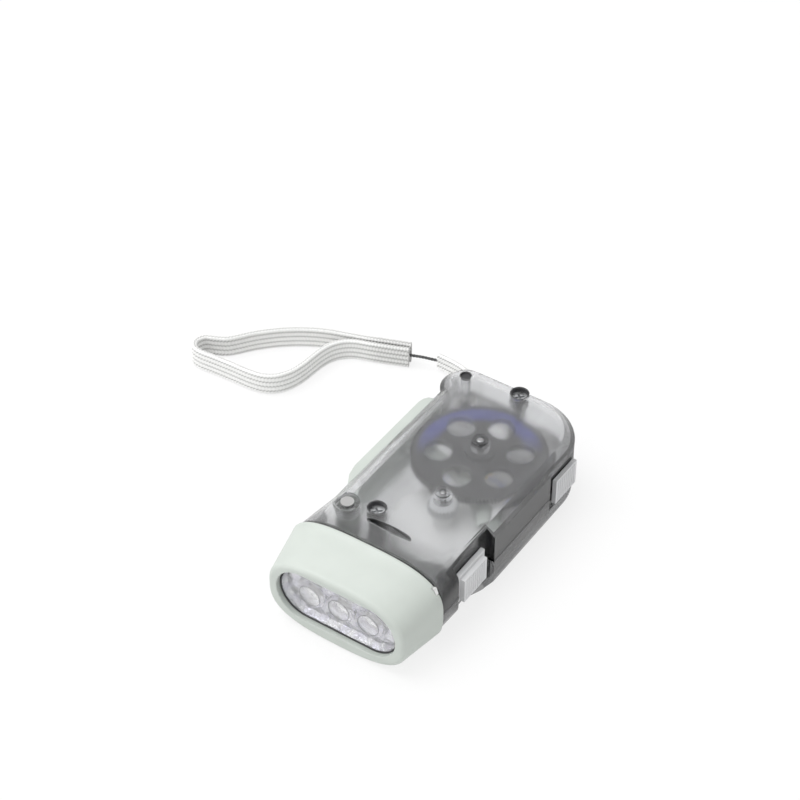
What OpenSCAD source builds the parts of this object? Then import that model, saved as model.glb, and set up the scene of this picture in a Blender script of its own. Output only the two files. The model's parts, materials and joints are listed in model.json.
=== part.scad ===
// Hand-press dynamo flashlight, laid on its bottom face.
// Millimetres. +Z is up, -Y is the way the beam points, -X is the press lever's side.
// The origin lies on the bottom face, midway between the drive gear and the lamp board.

/* [Casing] */
// Wall of both shells
wall = 1.8; // [1.2:0.1:2.4]
// Rim of the drive gear to the inside of the right wall
gear_side_gap = 0.95; // [0.6:0.05:3]
// Rim of the drive gear to the casing's left edge
left_room = 2.6; // [2:0.1:5]
// Rim of the drive gear to the casing's rear face
rear_room = 7.6; // [7:0.1:12]
// Lever pivot to the joint with the bezel
neck_l = 12; // [10:0.5:18]
// Radius of the rear right corner
corner_r = 19; // [12:0.1:20]
// Radius of the strap ear at the rear left corner
ear_r = 8; // [6:0.1:10]
// How far the ear stands out of the left edge
ear_proud = 2.6; // [0:0.1:4]
// Height of the sloped edge along the top
top_bevel_h = 3.1; // [1:0.1:4]
// Height of the sloped edge along the bottom
bottom_bevel_h = 4.9; // [1:0.1:6]
// Inset of the sloped edges
bevel_in = 3.3; // [1:0.1:4]
// Depth of the lamp slide's recess
recess_d = 2.95; // [2:0.05:4]
// Wall round the side recesses
recess_wall = 1.6; // [1:0.1:2.4]
// Depth of the lock slide's recess
lock_recess_d = 1.4; // [1:0.05:1.6]
// Height of the rings round the pins on the top face
pin_ring_h = 0.5; // [0.2:0.1:1]
// Length of the shallow groove in the top face
groove_l = 14; // [6:0.5:16]
// Width of that groove in its middle
groove_w = 2.6; // [1.2:0.1:3]

/* [Bezel and lamp] */
// Lamp axis left of the origin
lamp_x = -1; // [-2:0.1:0]
// Middle of the bezel's joint left of the origin
bezel_x = -1.5; // [-2:0.1:0]
// Width of the bezel at its joint
bezel_w = 52; // [50:0.1:58]
// Height of the bezel at its joint
bezel_h = 28.4; // [27:0.1:34]
// Length of the bezel
bezel_l = 16.8; // [15:0.1:24]
// How much the bezel narrows towards its front, on each side
bezel_taper_w = 2.7; // [0:0.1:3]
// How much the bezel sinks towards its front, above and below
bezel_taper_h = 2.1; // [0:0.1:3]
// How much lower the middle of the bezel's front sits than that of its joint
bezel_drop = 0.5; // [0:0.1:0.5]
// Radius of the bezel's front edge
lip_r = 2.6; // [1:0.1:3]
// Step from the casing's skin in from the bezel's skin
neck_step = 0.5; // [0.2:0.1:1]
// Width of the window
window_w = 40.4; // [36:0.2:41]
// Height of the window
window_h = 17.8; // [15:0.2:19]
// Depth of the window in front of the lens
window_d = 2; // [1.5:0.1:4]
// Thickness of the lens
lens_t = 1.5; // [1:0.1:2]
// Radius of the lens's round bulge in front of each lamp
eye_r = 3.5; // [2.5:0.1:4]
// Height of that bulge
eye_h = 0.9; // [0.4:0.1:1.4]
// Distance between the lamps
lamp_step = 10; // [9:0.1:11]
// Radius of each reflector cup at its front
cup_r = 4.7; // [3.9:0.05:4.9]
// Depth of the reflector
reflector_d = 6.6; // [5:0.1:7]
// Radius of each lamp
led_r = 2.5; // [1.5:0.1:3.5]
// Thickness of the lamp board
board_t = 1.2; // [0.8:0.1:1.6]

/* [Press lever] */
// How far the lever stands out of the casing's left edge
lever_proud = 4.2; // [2:0.1:6]
// Height of the lever
lever_h = 14.4; // [12:0.1:15]
// Wall of the lever
lever_wall = 2.4; // [1.6:0.1:3]
// Radius of the lever's pivot pin
pivot_r = 2; // [1.5:0.1:2.2]
// Depth of the shallow dish round the pivot pin
pivot_sink = 0.5; // [0.3:0.1:0.8]
// Radius of the lever's barrel on the pin
barrel_r = 3.6; // [3.2:0.1:4.5]
// Outward swing of the lever
lever_swing = 28; // [20:1:30]
// Wire of the return spring
spring_wire = 0.8; // [0.5:0.05:1]
// Curls of the return spring
spring_curls = 3; // [2:1:3]

/* [Gear train] */
// Drive gear axis right of the origin
gear_x = 1; // [0:0.1:2]
// Drive gear axis behind the origin
gear_y = 22; // [20:0.1:26]
// Teeth of the drive gear
gear_teeth = 118; // [100:1:122]
// Teeth of the rotor pinion
pinion_teeth = 24; // [20:1:30]
// Module of the drive gear and the rotor pinion
fine_module = 0.35; // [0.33:0.005:0.36]
// Thickness of the drive gear
gear_t = 2; // [1.5:0.1:3]
// Radius of the windows in the drive gear
gear_window_r = 4.4; // [3:0.1:4.6]
// Teeth of the clutch pinion
clutch_teeth = 14; // [13:1:18]
// Teeth of the full circle that the lever's rack is part of
rack_teeth = 141; // [134:1:150]
// Module of the rack and the clutch pinion
rack_module = 0.6; // [0.58:0.005:0.62]
// Thickness of the rack
rack_t = 2.8; // [2:0.1:3.5]
// Thickness of the ratchet wheel
ratchet_t = 1.4; // [1:0.1:2]
// Radius of the drive gear's pin
gear_pin_r = 1.25; // [1:0.05:1.5]
// Side play between meshing teeth
backlash = 0.09; // [0.06:0.01:0.15]
// Bearing of the rotor from the drive gear, off straight ahead
rotor_bearing = 6.9; // [4:0.1:10]
// Bearing of the lever pivot from the drive gear, off straight ahead
pivot_bearing = 22.5; // [20:0.1:24]

/* [Generator] */
// Height of the generator
generator_h = 10.2; // [9:0.1:12]
// Radius of the flywheel
flywheel_r = 15.4; // [14.6:0.1:15.6]
// Wall of the flywheel's skirt
flywheel_wall = 1.7; // [1.2:0.1:1.8]
// Radial thickness of the ring magnet
magnet_t = 3.6; // [2:0.1:3.8]
// Gap between the magnet and the claws
air_gap = 0.7; // [0.4:0.1:1]
// Radius of the rotor's shaft
shaft_r = 1; // [0.8:0.05:1.2]
// Claws on each claw plate
claws = 6; // [4:1:8]
// Thickness of the claw plates
claw_t = 0.8; // [0.6:0.1:1]

/* [Slides] */
// Length of the lamp slide
lamp_slide_l = 14; // [12:0.1:16]
// Height of the lamp slide
lamp_slide_h = 10.2; // [9:0.1:12]
// Travel of the lamp slide
lamp_travel = 2.6; // [1.5:0.1:3]
// Length of the lock slide
lock_slide_l = 11.6; // [9:0.1:13]
// Height of the lock slide
lock_slide_h = 9; // [8:0.1:11]
// Travel of the lock slide
lock_travel = 2.8; // [2:0.1:3]
// How far the lamp slide stands up from the floor of its recess
slide_proud = 3.1; // [2:0.1:3.6]
// How far the lock slide stands up from the floor of its recess
lock_proud = 1.6; // [1.2:0.1:2]

/* [Fasteners] */
// Radius of the screws' shanks
screw_r = 1.15; // [0.9:0.05:1.4]
// Radius of the screws' heads
screw_head_r = 2.5; // [2:0.1:2.8]
// Depth of the screws' heads below the top face
screw_sink = 1.6; // [0.8:0.1:2]

/* [Strap] */
// Width of the strap's tape
tape_w = 8; // [6:0.5:10]
// Thickness of the strap's tape
tape_t = 2; // [1.5:0.1:2.2]
// Width of the short tab at the ear
tab_w = 6.4; // [5:0.2:7]
// Thickness of the tab
tab_t = 1.8; // [1.4:0.1:2]
// Radius of the thin cord between tab and tape
link_r = 0.5; // [0.3:0.05:0.6]

/* [Clearances] */
// Radial play of a running fit
run_play = 0.06; // [0.05:0.01:0.1]
// Radial play of a seated piece
seat_play = 0.05; // [0.04:0.01:0.08]
// Gap round pieces that slide or swing
move_gap = 0.5; // [0.3:0.05:0.8]
// Gap at joints of fixed pieces
joint_gap = 0.2; // [0.1:0.05:0.4]

/* [Hidden] */
$fn = 64;
sliver = 0.02;
round_n = 32;
far = 200;

// Gear train in plan
gear_r = fine_module * gear_teeth / 2;
gear_tip = gear_r + fine_module;
pinion_r = fine_module * pinion_teeth / 2;
rotor_x = gear_x + (gear_r + pinion_r) * sin(rotor_bearing);
rotor_y = gear_y - (gear_r + pinion_r) * cos(rotor_bearing);
clutch_r = rack_module * clutch_teeth / 2;
rack_r = rack_module * rack_teeth / 2;
pivot_x = gear_x - (rack_r + clutch_r) * sin(pivot_bearing);
pivot_y = gear_y - (rack_r + clutch_r) * cos(pivot_bearing);

// Stack of the mechanism, from the floor of the casing up
floor_z = wall;
rotor_top = floor_z + generator_h;
rack_z = rotor_top + move_gap + 0.1;
ratchet_z = rack_z + rack_t + move_gap;
pawl_gap = 0.7;
ratchet_r = 6.6;
ratchet_step = 1.2;
gear_z = ratchet_z + ratchet_t + pawl_gap;
hub_rise = 1.4;
pin_proud = 0.3;
hub_drop = pawl_gap - 0.1;
hub_r = 4.6;
hub_top = gear_z + gear_t + hub_rise;
boss_drop = 2;
roof_z = hub_top + joint_gap + boss_drop;
top_z = roof_z + wall;
bezel_foot = 1;
lamp_z = bezel_h / 2 - bezel_foot;

// Casing in plan
right_x = gear_x + gear_tip + gear_side_gap + wall;
left_x = gear_x - gear_tip - left_room;
rear_y = gear_y + gear_tip + rear_room;
joint_y = pivot_y - neck_l;
shoulder_y = pivot_y + 2;
ear_x = left_x - ear_proud + ear_r;
ear_y = rear_y - ear_r;
bevel_top_z = top_z - top_bevel_h;
recess_x = right_x - recess_d;
recess_in = recess_x - recess_wall;
lock_recess_x = right_x - lock_recess_d;
lock_recess_in = gear_x + gear_tip + move_gap;

// Bezel and lamp
neck_a = bezel_w / 2 - neck_step;
neck_b = bezel_h / 2 - neck_step;
spigot_a = neck_a - wall;
spigot_b = neck_b - wall;
spigot_l = 3.4;
spigot_wall = 1.4;
front_y = joint_y - joint_gap - bezel_l;
lens_y = front_y + window_d;
lens_rim = 0.9;
lens_w = window_w + 2 * lens_rim;
lens_h = window_h + 2 * lens_rim;
reflector_y = lens_y + lens_t + joint_gap / 2;
board_y = reflector_y + reflector_d + 1.6;
led_h = 4.6;
flange_h = 0.9;
flange_rim = 0.4;
holder_t = 1.4;
holder_gap = 1.3;
holder_w = lens_w - 1.2;
holder_h = 2 * (spigot_b - spigot_wall - holder_gap);
holder_rim = 3.9;
holder_y = board_y + board_t + seat_play;
clip_t = 1.1;
clip_w = 2.2;
clip_turn = 20.5;
clip_y = joint_y - clip_t - joint_gap / 4;
clip_from = lens_w / 2 - 4.1;
clip_way = [2 * cos(clip_turn) / bezel_w, 2 * sin(clip_turn) / bezel_h];
clip_to = 1 / pow(pow(clip_way.x, 3) + pow(clip_way.y, 3), 1 / 3) - 0.1;

// Lever
lever_z = lamp_z - lever_h / 2;
lever_top = lever_z + lever_h;
lever_out = left_x - lever_proud;
lever_in = left_x + 1;
lever_end = ear_y - ear_r + 0.2;
spring_room = 5.2;
spring_r = pivot_r + run_play + spring_wire / 2 + 0.65;
spring_z = lever_z + 0.6;
spring_pitch = (spring_room - 1.3) / spring_curls;
spring_start = 30;
spring_leg = 6;
catch_y = gear_y + 4;
catch_z = lever_z + 2.8;
catch_h = 2.2;
catch_x = left_x + 5.4;
catch_lip = 4.6;
lock_bar_y0 = catch_y + catch_lip + move_gap + lock_travel;
lock_bar_w = 3;
lock_bar_x0 = left_x + wall + move_gap;
tongue_x = left_x + 1.4;
tongue_w = 2;

// Generator
web_t = 1.2;
skirt_z = floor_z + 1.5;
claw_r = flywheel_r - flywheel_wall - magnet_t - air_gap - seat_play;
claw_w = 3.4;
boss_r = shaft_r + 1.4;
stator_z = floor_z + seat_play;
coil_z = stator_z + claw_t + seat_play;
coil_h = generator_h - web_t - 2 * claw_t - 0.9;
upper_claw_z = coil_z + coil_h + seat_play;
bobbin_wall = 1;
bobbin_flange = 0.7;
flange_gap = 0.25;
winding_gap = 0.8;

// Lamp slide and lock slide
lamp_recess_y0 = pivot_y - 4;
lamp_recess_l = lamp_slide_l + lamp_travel + 2 * move_gap;
flank_y = lamp_recess_y0 + lamp_recess_l - 0.5;
lamp_slide_y0 = lamp_recess_y0 + move_gap;
lamp_stem_y0 = lamp_slide_y0 + 2.6;
stem_w = 2;
lock_recess_y0 = gear_y + 1.2;
lock_recess_l = lock_slide_l + lock_travel + 2 * move_gap;
lock_slide_y0 = lock_recess_y0 + lock_travel + move_gap;
slide_plate = 1.3;
block_y0 = lamp_stem_y0 - 2.2;
block_l = stem_w + lamp_travel + 4.2;
block_x0 = recess_in - 5;
block_h = 6.4;

// Screws: place in plan and top of the boss round each head
screw_boss_r = screw_r + 1.45;
screw_places = [[pivot_x + 8.5, pivot_y + 2.7, roof_z + 0.5],
    [gear_x - 1.5, rear_y - wall - screw_boss_r + 0.2, roof_z - 0.5]];
screw_top = top_z - screw_sink;
screw_head_h = 1.7;
screw_l = 17;
slot_l = 3.2;
slot_w = 0.64;
slot_d = 1;

// Strap: the points of its free run, on the floor behind the ear
post_r = 1.5;
tab_z = 9;
tab_exit_x = -19.6;
post_x = ear_x - 1.2;
post_y = ear_y + 1.6;
tab_route = [[-19.2, 47.5, 9], [-20, 52, 9], [-22.5, 56.5, 8.6], [-27, 60.5, 7.4],
    [-32.5, 63.5, 6], [-38, 65.2, 4.8], [-42.4, 66, 4.2]];
link_route = [[-42.6, 66, 4.2], [-45, 65.6, 4], [-48, 64.8, 4], [-51.2, 63.6, 4]];
loop_route = [[-51.4, 62.3], [-55.6, 60.6], [-60, 58.9], [-64.2, 57.4], [-68, 56], [-71.2, 53.8],
    [-73.6, 50.4], [-74.8, 46], [-75.2, 41.5], [-75.6, 37], [-76.6, 32.6], [-78.8, 28.6], [-82.4, 26],
    [-87, 25], [-92, 24.8], [-97, 24.6], [-102, 24.3], [-106.4, 24], [-109.6, 24.9], [-111, 27.6],
    [-109.8, 30.6], [-106.6, 32.2], [-103.4, 34], [-101, 36.8], [-98.4, 40.4], [-95.2, 44],
    [-91.4, 47.6], [-87.2, 50.8], [-82.6, 53.6], [-77.8, 55.8], [-73, 57.4], [-68.6, 58.8],
    [-64.6, 60.2], [-60.4, 61.8], [-56.2, 63.4], [-52.2, 64.9]];

// Lead wires on the floor of the casing
wire_r = 0.5;
wire_z = floor_z + wire_r + 0.05;
switch_end_y = block_y0 + block_l;
switch_end_x = block_x0 + 2.1;
wire_a = [from_rotor(claw_r + 0.15, 119, wire_z), [-3, 8.4, wire_z], [-7.5, 11.5, wire_z],
    [-11, 15.5, wire_z], [-11.5, 21, wire_z], [-8.5, 26, wire_z], [-3, 29, wire_z], [4, 29.5, wire_z],
    [10.5, 27, wire_z], [15.5, 21.5, wire_z], [18, 15.5, wire_z], [18.8, 9, wire_z], [18.6, 2, wire_z],
    [17.8, -5, wire_z], [16.9, -10, wire_z + 0.1], from_rotor(flywheel_r + 1, -37.5, wire_z + 0.5),
    from_rotor(flywheel_r + 1.7, -39.3, wire_z + 3), from_rotor(flywheel_r + 2, -40.3, rotor_top - 1.5),
    [switch_end_x, switch_end_y + 1.1, lamp_z - 0.8],
    [switch_end_x, switch_end_y + 0.8, lamp_z - 0.1], [switch_end_x, switch_end_y + 0.2, lamp_z]];
wire_b = [from_rotor(claw_r + 0.25, -31.3, wire_z), from_rotor(claw_r + 3, -36.2, wire_z),
    [14.6, -13.4, wire_z], [13.6, -18.5, wire_z + 0.1], [12.6, -24.5, 3.3], [12, -29, 6.5], [12, -33, 9.3],
    [12, board_y + board_t + joint_gap, 9.8]];

// Outline of a rounded box section, as a superellipse in the plane of X and Z
function section(a, b, power, count) = [for (i = [0:count - 1]) let (t = 360 * i / count)
    [a * sign(cos(t)) * pow(abs(cos(t)), 2 / power), b * sign(sin(t)) * pow(abs(sin(t)), 2 / power)]];

// Point at a radius and bearing from the rotor's axis
function from_rotor(r, turn, z) = [rotor_x + r * cos(turn), rotor_y + r * sin(turn), z];

// Points along an arc, in plan
function arc(r, from, to, steps) = [for (i = [0:steps]) let (t = from + (to - from) * i / steps)
    [r * cos(t), r * sin(t)]];

// Involute function, in degrees
function involute(t) = tan(t) * 180 / PI - t;

// Half the angle that a tooth takes at radius r
function tooth_half(teeth, pitch_r, r) = let (base_r = pitch_r * cos(20))
    90 / teeth - backlash / 2 / pitch_r * 180 / PI + involute(20) - involute(acos(min(1, base_r / r)));

// Outline of one tooth, counter-clockwise from its root
function tooth(teeth, pitch_r, size, turn) = let (
    radii = [pitch_r - 1.25 * size, pitch_r - 0.3 * size, pitch_r + 0.35 * size, pitch_r + 0.95 * size],
    halves = [for (r = radii) tooth_half(teeth, pitch_r, r)])
    concat([for (i = [0:3]) radii[i] * [cos(turn - halves[i]), sin(turn - halves[i])]],
        [for (i = [3:-1:0]) radii[i] * [cos(turn + halves[i]), sin(turn + halves[i])]]);

// Outline of a whole spur gear with a tooth at the given turn
function gear_outline(teeth, pitch_r, size, turn) =
    [for (k = [0:teeth - 1]) each tooth(teeth, pitch_r, size, turn + 360 * k / teeth)];

// Smooth stations along a route of hand-placed points
function mix(a, b, c, d, t) = 0.5 * (2 * b + (c - a) * t + (2 * a - 5 * b + 4 * c - d) * t * t
    + (3 * b - a - 3 * c + d) * t * t * t);

function stations(p, steps) = let (last = len(p) - 1)
    concat([for (i = [0:last - 1], s = [0:steps - 1])
        mix(p[max(0, i - 1)], p[i], p[i + 1], p[min(last, i + 2)], s / steps)], [p[last]]);

// Direction of a route at a station
function along(p, i) = let (d = p[min(len(p) - 1, i + 1)] - p[max(0, i - 1)]) d / norm(d);

// Closed tube of flat rings: each ring is a list of points, all of the same count
module tube(rings) {
    sides = len(rings[0]);
    last = len(rings) - 1;
    quads = [for (i = [0:last - 1], k = [0:sides - 1]) let (n = (k + 1) % sides)
        each [[i * sides + k, i * sides + n, (i + 1) * sides + n], [i * sides + k, (i + 1) * sides + n,
            (i + 1) * sides + k]]];
    start_cap = [for (k = [1:sides - 2]) [0, k + 1, k]];
    end_cap = [for (k = [1:sides - 2]) [last * sides, last * sides + k, last * sides + k + 1]];
    polyhedron([for (r = rings) each r], concat(quads, start_cap, end_cap));
}

// Rings of a flat tape that stands on edge along a route
function tape_rings(p, w, t) = [for (i = [0:len(p) - 1]) let (d = along(p, i), n = norm([d.x, d.y]),
    side = [d.y, -d.x, 0] / n) [for (c = [[0.5, -0.25], [0.5, 0.25], [0.28, 0.5], [-0.28, 0.5],
    [-0.5, 0.25], [-0.5, -0.25], [-0.28, -0.5], [0.28, -0.5]]) p[i] + side * t * c.x + [0, 0, w * c.y]]];

// Rings of a round tube along a route that never runs straight up
function round_rings(p, r, sides) = [for (i = [0:len(p) - 1]) let (d = along(p, i),
    side = cross(d, [0, 0, 1]) / norm(cross(d, [0, 0, 1])), up = cross(side, d))
    [for (k = [0:sides - 1]) p[i] + r * cos(360 * k / sides) * side + r * sin(360 * k / sides) * up]];

// Solid of a section lying in X and Z round the lamp's height, from y0 towards +Y
module along_y(x, y0, length) {
    translate([x, y0 + length, lamp_z]) rotate([90, 0, 0]) linear_extrude(length) children();
}

// Round-ended window outline
module stadium(w, h) {
    square([w - h, h], center = true);
    for (s = [-1, 1]) translate([s * (w - h) / 2, 0]) circle(h / 2);
}

// Tube standing on z0
module pipe(r_out, r_in, z0, h) {
    translate([0, 0, z0]) difference() {
        cylinder(r = r_out, h = h);
        translate([0, 0, -1]) cylinder(r = r_in, h = h + 2);
    }
}

module at_gear() {
    translate([gear_x, gear_y, 0]) children();
}

module at_rotor() {
    translate([rotor_x, rotor_y, 0]) children();
}

module at_pivot() {
    translate([pivot_x, pivot_y, 0]) children();
}

// Corner posts of the main casing, for a skin that lies t inside the outer one
module casing_level(z, h, inset, t) {
    far_r = corner_r - inset - t;
    near_r = max(ear_r - inset - t, 0.5);
    translate([right_x - corner_r, rear_y - corner_r, z]) cylinder(r = far_r, h = h, $fn = round_n * 2);
    translate([left_x + ear_r, rear_y - ear_r, z]) cylinder(r = near_r, h = h, $fn = round_n);
    translate([left_x + inset + t, flank_y, z]) cube([right_x - left_x - 2 * (inset + t), 1, h]);
}

// Main casing and neck, as a solid that lies t inside the outer skin
module casing_form(t) {
    hull() {
        casing_level(t, sliver, bevel_in, t);
        casing_level(bottom_bevel_h, bevel_top_z - bottom_bevel_h, 0, t);
        casing_level(top_z - t - sliver, sliver, bevel_in, t);
    }
    hull() {
        along_y(bezel_x, joint_y, sliver) polygon(section(neck_a - t, neck_b - t, 3, 48));
        casing_slice(shoulder_y, t, 0.6, 8);
    }
    hull() {
        casing_slice(shoulder_y, t, 0.6, 8);
        casing_slice(flank_y, t, 0, bevel_in);
    }
}

// Thin slice of the casing, whose lower right edge slopes in by its own amount
module casing_slice(y, t, right_in, slope_in) {
    left = left_x + t;
    right = right_x - t - right_in;
    rise = bottom_bevel_h * (slope_in + bevel_in) / 2 / bevel_in;
    translate([0, y + sliver, 0]) rotate([90, 0, 0]) linear_extrude(sliver) polygon([[left + bevel_in, t],
        [right - slope_in, t], [right, rise], [right, bevel_top_z], [right - bevel_in, top_z - t],
        [left + bevel_in, top_z - t], [left, bevel_top_z], [left, bottom_bevel_h]]);
}

// Strap ear: a round tower with the casing's own sloped edges
module ear_form(t) {
    r = ear_r - t;
    translate([ear_x, ear_y, 0]) rotate_extrude() polygon([[0, t], [r - bevel_in, t], [r, bottom_bevel_h],
        [r, bevel_top_z], [r - bevel_in, top_z - t], [0, top_z - t]]);
}

// Skin of the casing with the blocks that carry the side recesses
module casing_skin() {
    difference() {
        union() {
            casing_form(0);
            ear_form(0);
        }
        difference() {
            union() {
                casing_form(wall);
                ear_form(wall);
            }
            recess_block(recess_in, lamp_recess_y0, lamp_recess_l);
            recess_block(lock_recess_in, lock_recess_y0, lock_recess_l);
        }
        translate([-far / 2, joint_y - 1, -1]) cube([far, 1, far]);
    }
    difference() {
        along_y(bezel_x, joint_y, 2) polygon(section(neck_a - wall / 2, neck_b - wall / 2, 3, 48));
        along_y(bezel_x, joint_y - 1, 4)
            polygon(section(spigot_a - spigot_wall, spigot_b - spigot_wall, 3, 48));
    }
    difference() {
        along_y(bezel_x, joint_y - spigot_l, spigot_l + 1) polygon(section(spigot_a, spigot_b, 3, 48));
        along_y(bezel_x, joint_y - spigot_l - 1, spigot_l + 3)
            polygon(section(spigot_a - spigot_wall, spigot_b - spigot_wall, 3, 48));
    }
}

// Solid behind a side recess
module recess_block(x0, y0, l) {
    translate([x0, y0 - recess_wall, -1]) cube([far, l + 2 * recess_wall, far]);
}

// What is cut out of both shells
module casing_cuts() {
    translate([recess_x, lamp_recess_y0, -1]) cube([far, lamp_recess_l, far]);
    translate([lock_recess_x, lock_recess_y0, bottom_bevel_h + 0.6])
        cube([far, lock_recess_l, bevel_top_z - bottom_bevel_h - 0.9]);
    translate([left_x - 9, pivot_y - 3, lever_z - move_gap])
        cube([9 + wall + 0.6, lever_end + move_gap - pivot_y + 3, lever_h + 2 * move_gap]);
    translate([recess_in - 1, lamp_stem_y0 - move_gap, lamp_z - stem_w / 2 - move_gap])
        cube([recess_wall + 2, stem_w + lamp_travel + 2 * move_gap, stem_w + 2 * move_gap]);
    translate([lock_recess_in - 1, lock_bar_y0 - lock_travel - move_gap, catch_z - move_gap])
        cube([lock_recess_x - lock_recess_in + 2, lock_bar_w + lock_travel + 2 * move_gap,
            catch_h + 2 * move_gap]);
    translate([tab_exit_x - tab_t / 2 - move_gap, ear_y + ear_r - wall - 2, tab_z - tab_w / 2 - move_gap])
        cube([tab_t + 2 * move_gap + 0.6, wall + 4, tab_w + 2 * move_gap]);
    clip_bar(clip_y - joint_gap, joint_y - clip_y + joint_gap + sliver, joint_gap);
    translate([0, 0, -far]) cube([far, far, 2 * far], center = true);
}

// Bar through the seam at the lamp holder's clip, with its play
module clip_bar(y0, l, play) {
    translate([bezel_x, y0, lamp_z]) rotate([0, -clip_turn, 0])
        translate([clip_from, 0, -clip_w / 2 - play]) cube([clip_to - clip_from, l, clip_w + 2 * play]);
}

// Boss for a pin, hanging from the roof, with its ring on the top face
module roof_boss(r, z0, ring_r) {
    translate([0, 0, z0]) cylinder(r = r, h = roof_z - z0 + wall / 2);
    translate([0, 0, top_z - wall / 2]) cylinder(r = ring_r, h = wall / 2 + pin_ring_h);
}

module upper_shell() {
    color([0.55, 0.57, 0.58, 0.45]) difference() {
        union() {
            intersection() {
                casing_skin();
                translate([-far / 2, -far / 2, lamp_z]) cube(far);
            }
            at_gear() roof_boss(gear_pin_r + 1.6, hub_top + joint_gap, gear_pin_r + 1.1);
            at_rotor() roof_boss(shaft_r + 1.8, hub_top + joint_gap, shaft_r + 1.3);
            at_pivot() translate([0, 0, lever_top + move_gap])
                cylinder(r = pivot_r + 1.8, h = roof_z + wall / 2 - lever_top - move_gap);
            for (s = screw_places) translate([s.x, s.y, 0]) {
                pipe(screw_boss_r, screw_r, lamp_z, roof_z - lamp_z);
                translate([0, 0, gear_z + gear_t + 0.8])
                    cylinder(r = screw_head_r + 0.6, h = s.z - gear_z - gear_t - 0.8);
            }
            translate([post_x, post_y, lamp_z]) cylinder(r = post_r, h = roof_z - lamp_z + wall / 4);
        }
        casing_cuts();
        at_gear() cylinder(r = gear_pin_r + seat_play, h = far);
        at_rotor() cylinder(r = shaft_r + run_play, h = far);
        at_pivot() cylinder(r = pivot_r + seat_play, h = far);
        at_pivot() translate([0, 0, top_z - pivot_sink]) cylinder(r = pivot_r + 1.7, h = far);
        for (s = screw_places) translate([s.x, s.y, 0]) {
            cylinder(r = screw_r + run_play, h = far);
            translate([0, 0, screw_top - screw_head_h]) cylinder(r = screw_head_r + run_play, h = far);
        }
        translate([post_x, post_y, top_z - 0.9]) cylinder(r = post_r, h = 2);
        groove();
    }
}

// Shallow groove in the top face ahead of the screw, widest in its middle
module groove() {
    translate([screw_places[0].x + 8, pivot_y - 2.6, top_z - 0.5]) linear_extrude(3) hull() {
        for (side = [-1, 1]) translate([side * groove_l / 2, -0.4]) circle(r = 0.5);
        circle(r = groove_w / 2);
    }
}

module lower_shell() {
    color([0.5, 0.52, 0.53, 0.5]) difference() {
        union() {
            intersection() {
                casing_skin();
                translate([-far / 2, -far / 2, lamp_z - far]) cube(far);
            }
            floor_boss(gear_x, gear_y, gear_pin_r + 1.4, rack_z - move_gap);
            floor_boss(rotor_x, rotor_y, shaft_r + 1.4, floor_z + generator_h - 2);
            floor_boss(pivot_x, pivot_y, pivot_r + 1.5, lever_z - joint_gap);
            floor_boss(pivot_x + 3.8, pivot_y - 3.6, 0.9, spring_z + 1.4);
            for (s = screw_places) floor_boss(s.x, s.y, screw_boss_r + 0.2, lamp_z);
            floor_boss(post_x, post_y, post_r, lamp_z);
            for (s = [-1, 1]) translate([gear_x + s * 13 - 1, lock_bar_y0 - 3, floor_z - sliver])
                cube([2, lock_bar_w + 4, catch_z - floor_z - joint_gap]);
            translate([block_x0 + 0.5, block_y0 + 1.5, floor_z - sliver])
                cube([3.5, 3, lamp_z - block_h / 2 - floor_z - seat_play]);
            generator_wall();
        }
        casing_cuts();
        translate([gear_x, gear_y, floor_z]) cylinder(r = gear_pin_r + seat_play, h = far);
        translate([rotor_x, rotor_y, floor_z]) cylinder(r = shaft_r + run_play, h = far);
        translate([pivot_x, pivot_y, floor_z]) cylinder(r = pivot_r + seat_play, h = far);
        for (s = screw_places) translate([s.x, s.y, screw_top - screw_head_h - screw_l - 1])
            cylinder(r = screw_r + seat_play, h = far);
    }
}

// Boss on the floor of the casing
module floor_boss(x, y, r, top) {
    root = 0.6;
    translate([x, y, floor_z - root]) cylinder(r = r, h = top - floor_z + root);
}

// Curved wall beside the generator, on the lever's side
module generator_wall() {
    at_rotor() difference() {
        pipe(flywheel_r + 2, flywheel_r + 0.9, floor_z - sliver, generator_h - 2.4);
        translate([-9, -far / 2, 0]) cube(far);
        translate([-far / 2, 4, 0]) cube(far);
        translate([-far / 2, -10 - far, 0]) cube(far);
    }
}

// Bezel: a tapered cap with a round front edge
module bezel() {
    a = bezel_w / 2;
    b = bezel_h / 2;
    color([0.82, 0.88, 0.83]) difference() {
        hull() {
            along_y(bezel_x, joint_y - joint_gap - sliver, sliver) polygon(section(a, b, 3, 48));
            for (t = [0:22.5:90]) let (in = lip_r * (1 - cos(t)))
                translate([0, 0, -bezel_drop]) along_y(lamp_x, front_y + lip_r * (1 - sin(t)), sliver)
                    polygon(section(a - bezel_taper_w - in, b - bezel_taper_h + bezel_drop - in, 2.8, 48));
        }
        along_y(lamp_x, front_y - 1, bezel_l + 2) stadium(window_w, window_h);
        along_y(lamp_x, lens_y, bezel_l) stadium(lens_w + 2 * seat_play, lens_h + 2 * seat_play);
        along_y(bezel_x, joint_y - spigot_l - joint_gap, bezel_l)
            polygon(section(spigot_a + joint_gap / 2, spigot_b + joint_gap / 2, 3, 48));
        clip_bar(clip_y - joint_gap, bezel_l, joint_gap);
        translate([0, 0, -far]) cube([far, far, 2 * far], center = true);
    }
}

// Lens: a flat pane with a round bulge in front of each lamp
module lens() {
    color([0.93, 0.95, 0.97, 0.35]) {
        along_y(lamp_x, lens_y + seat_play, lens_t) stadium(lens_w, lens_h);
        for (i = [-1:1]) translate([lamp_x + i * lamp_step, lens_y + seat_play, lamp_z]) rotate([90, 0, 0])
            rotate_extrude() polygon(concat([[0, -lens_t / 2], [eye_r, -lens_t / 2]], bulge()));
    }
}

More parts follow.
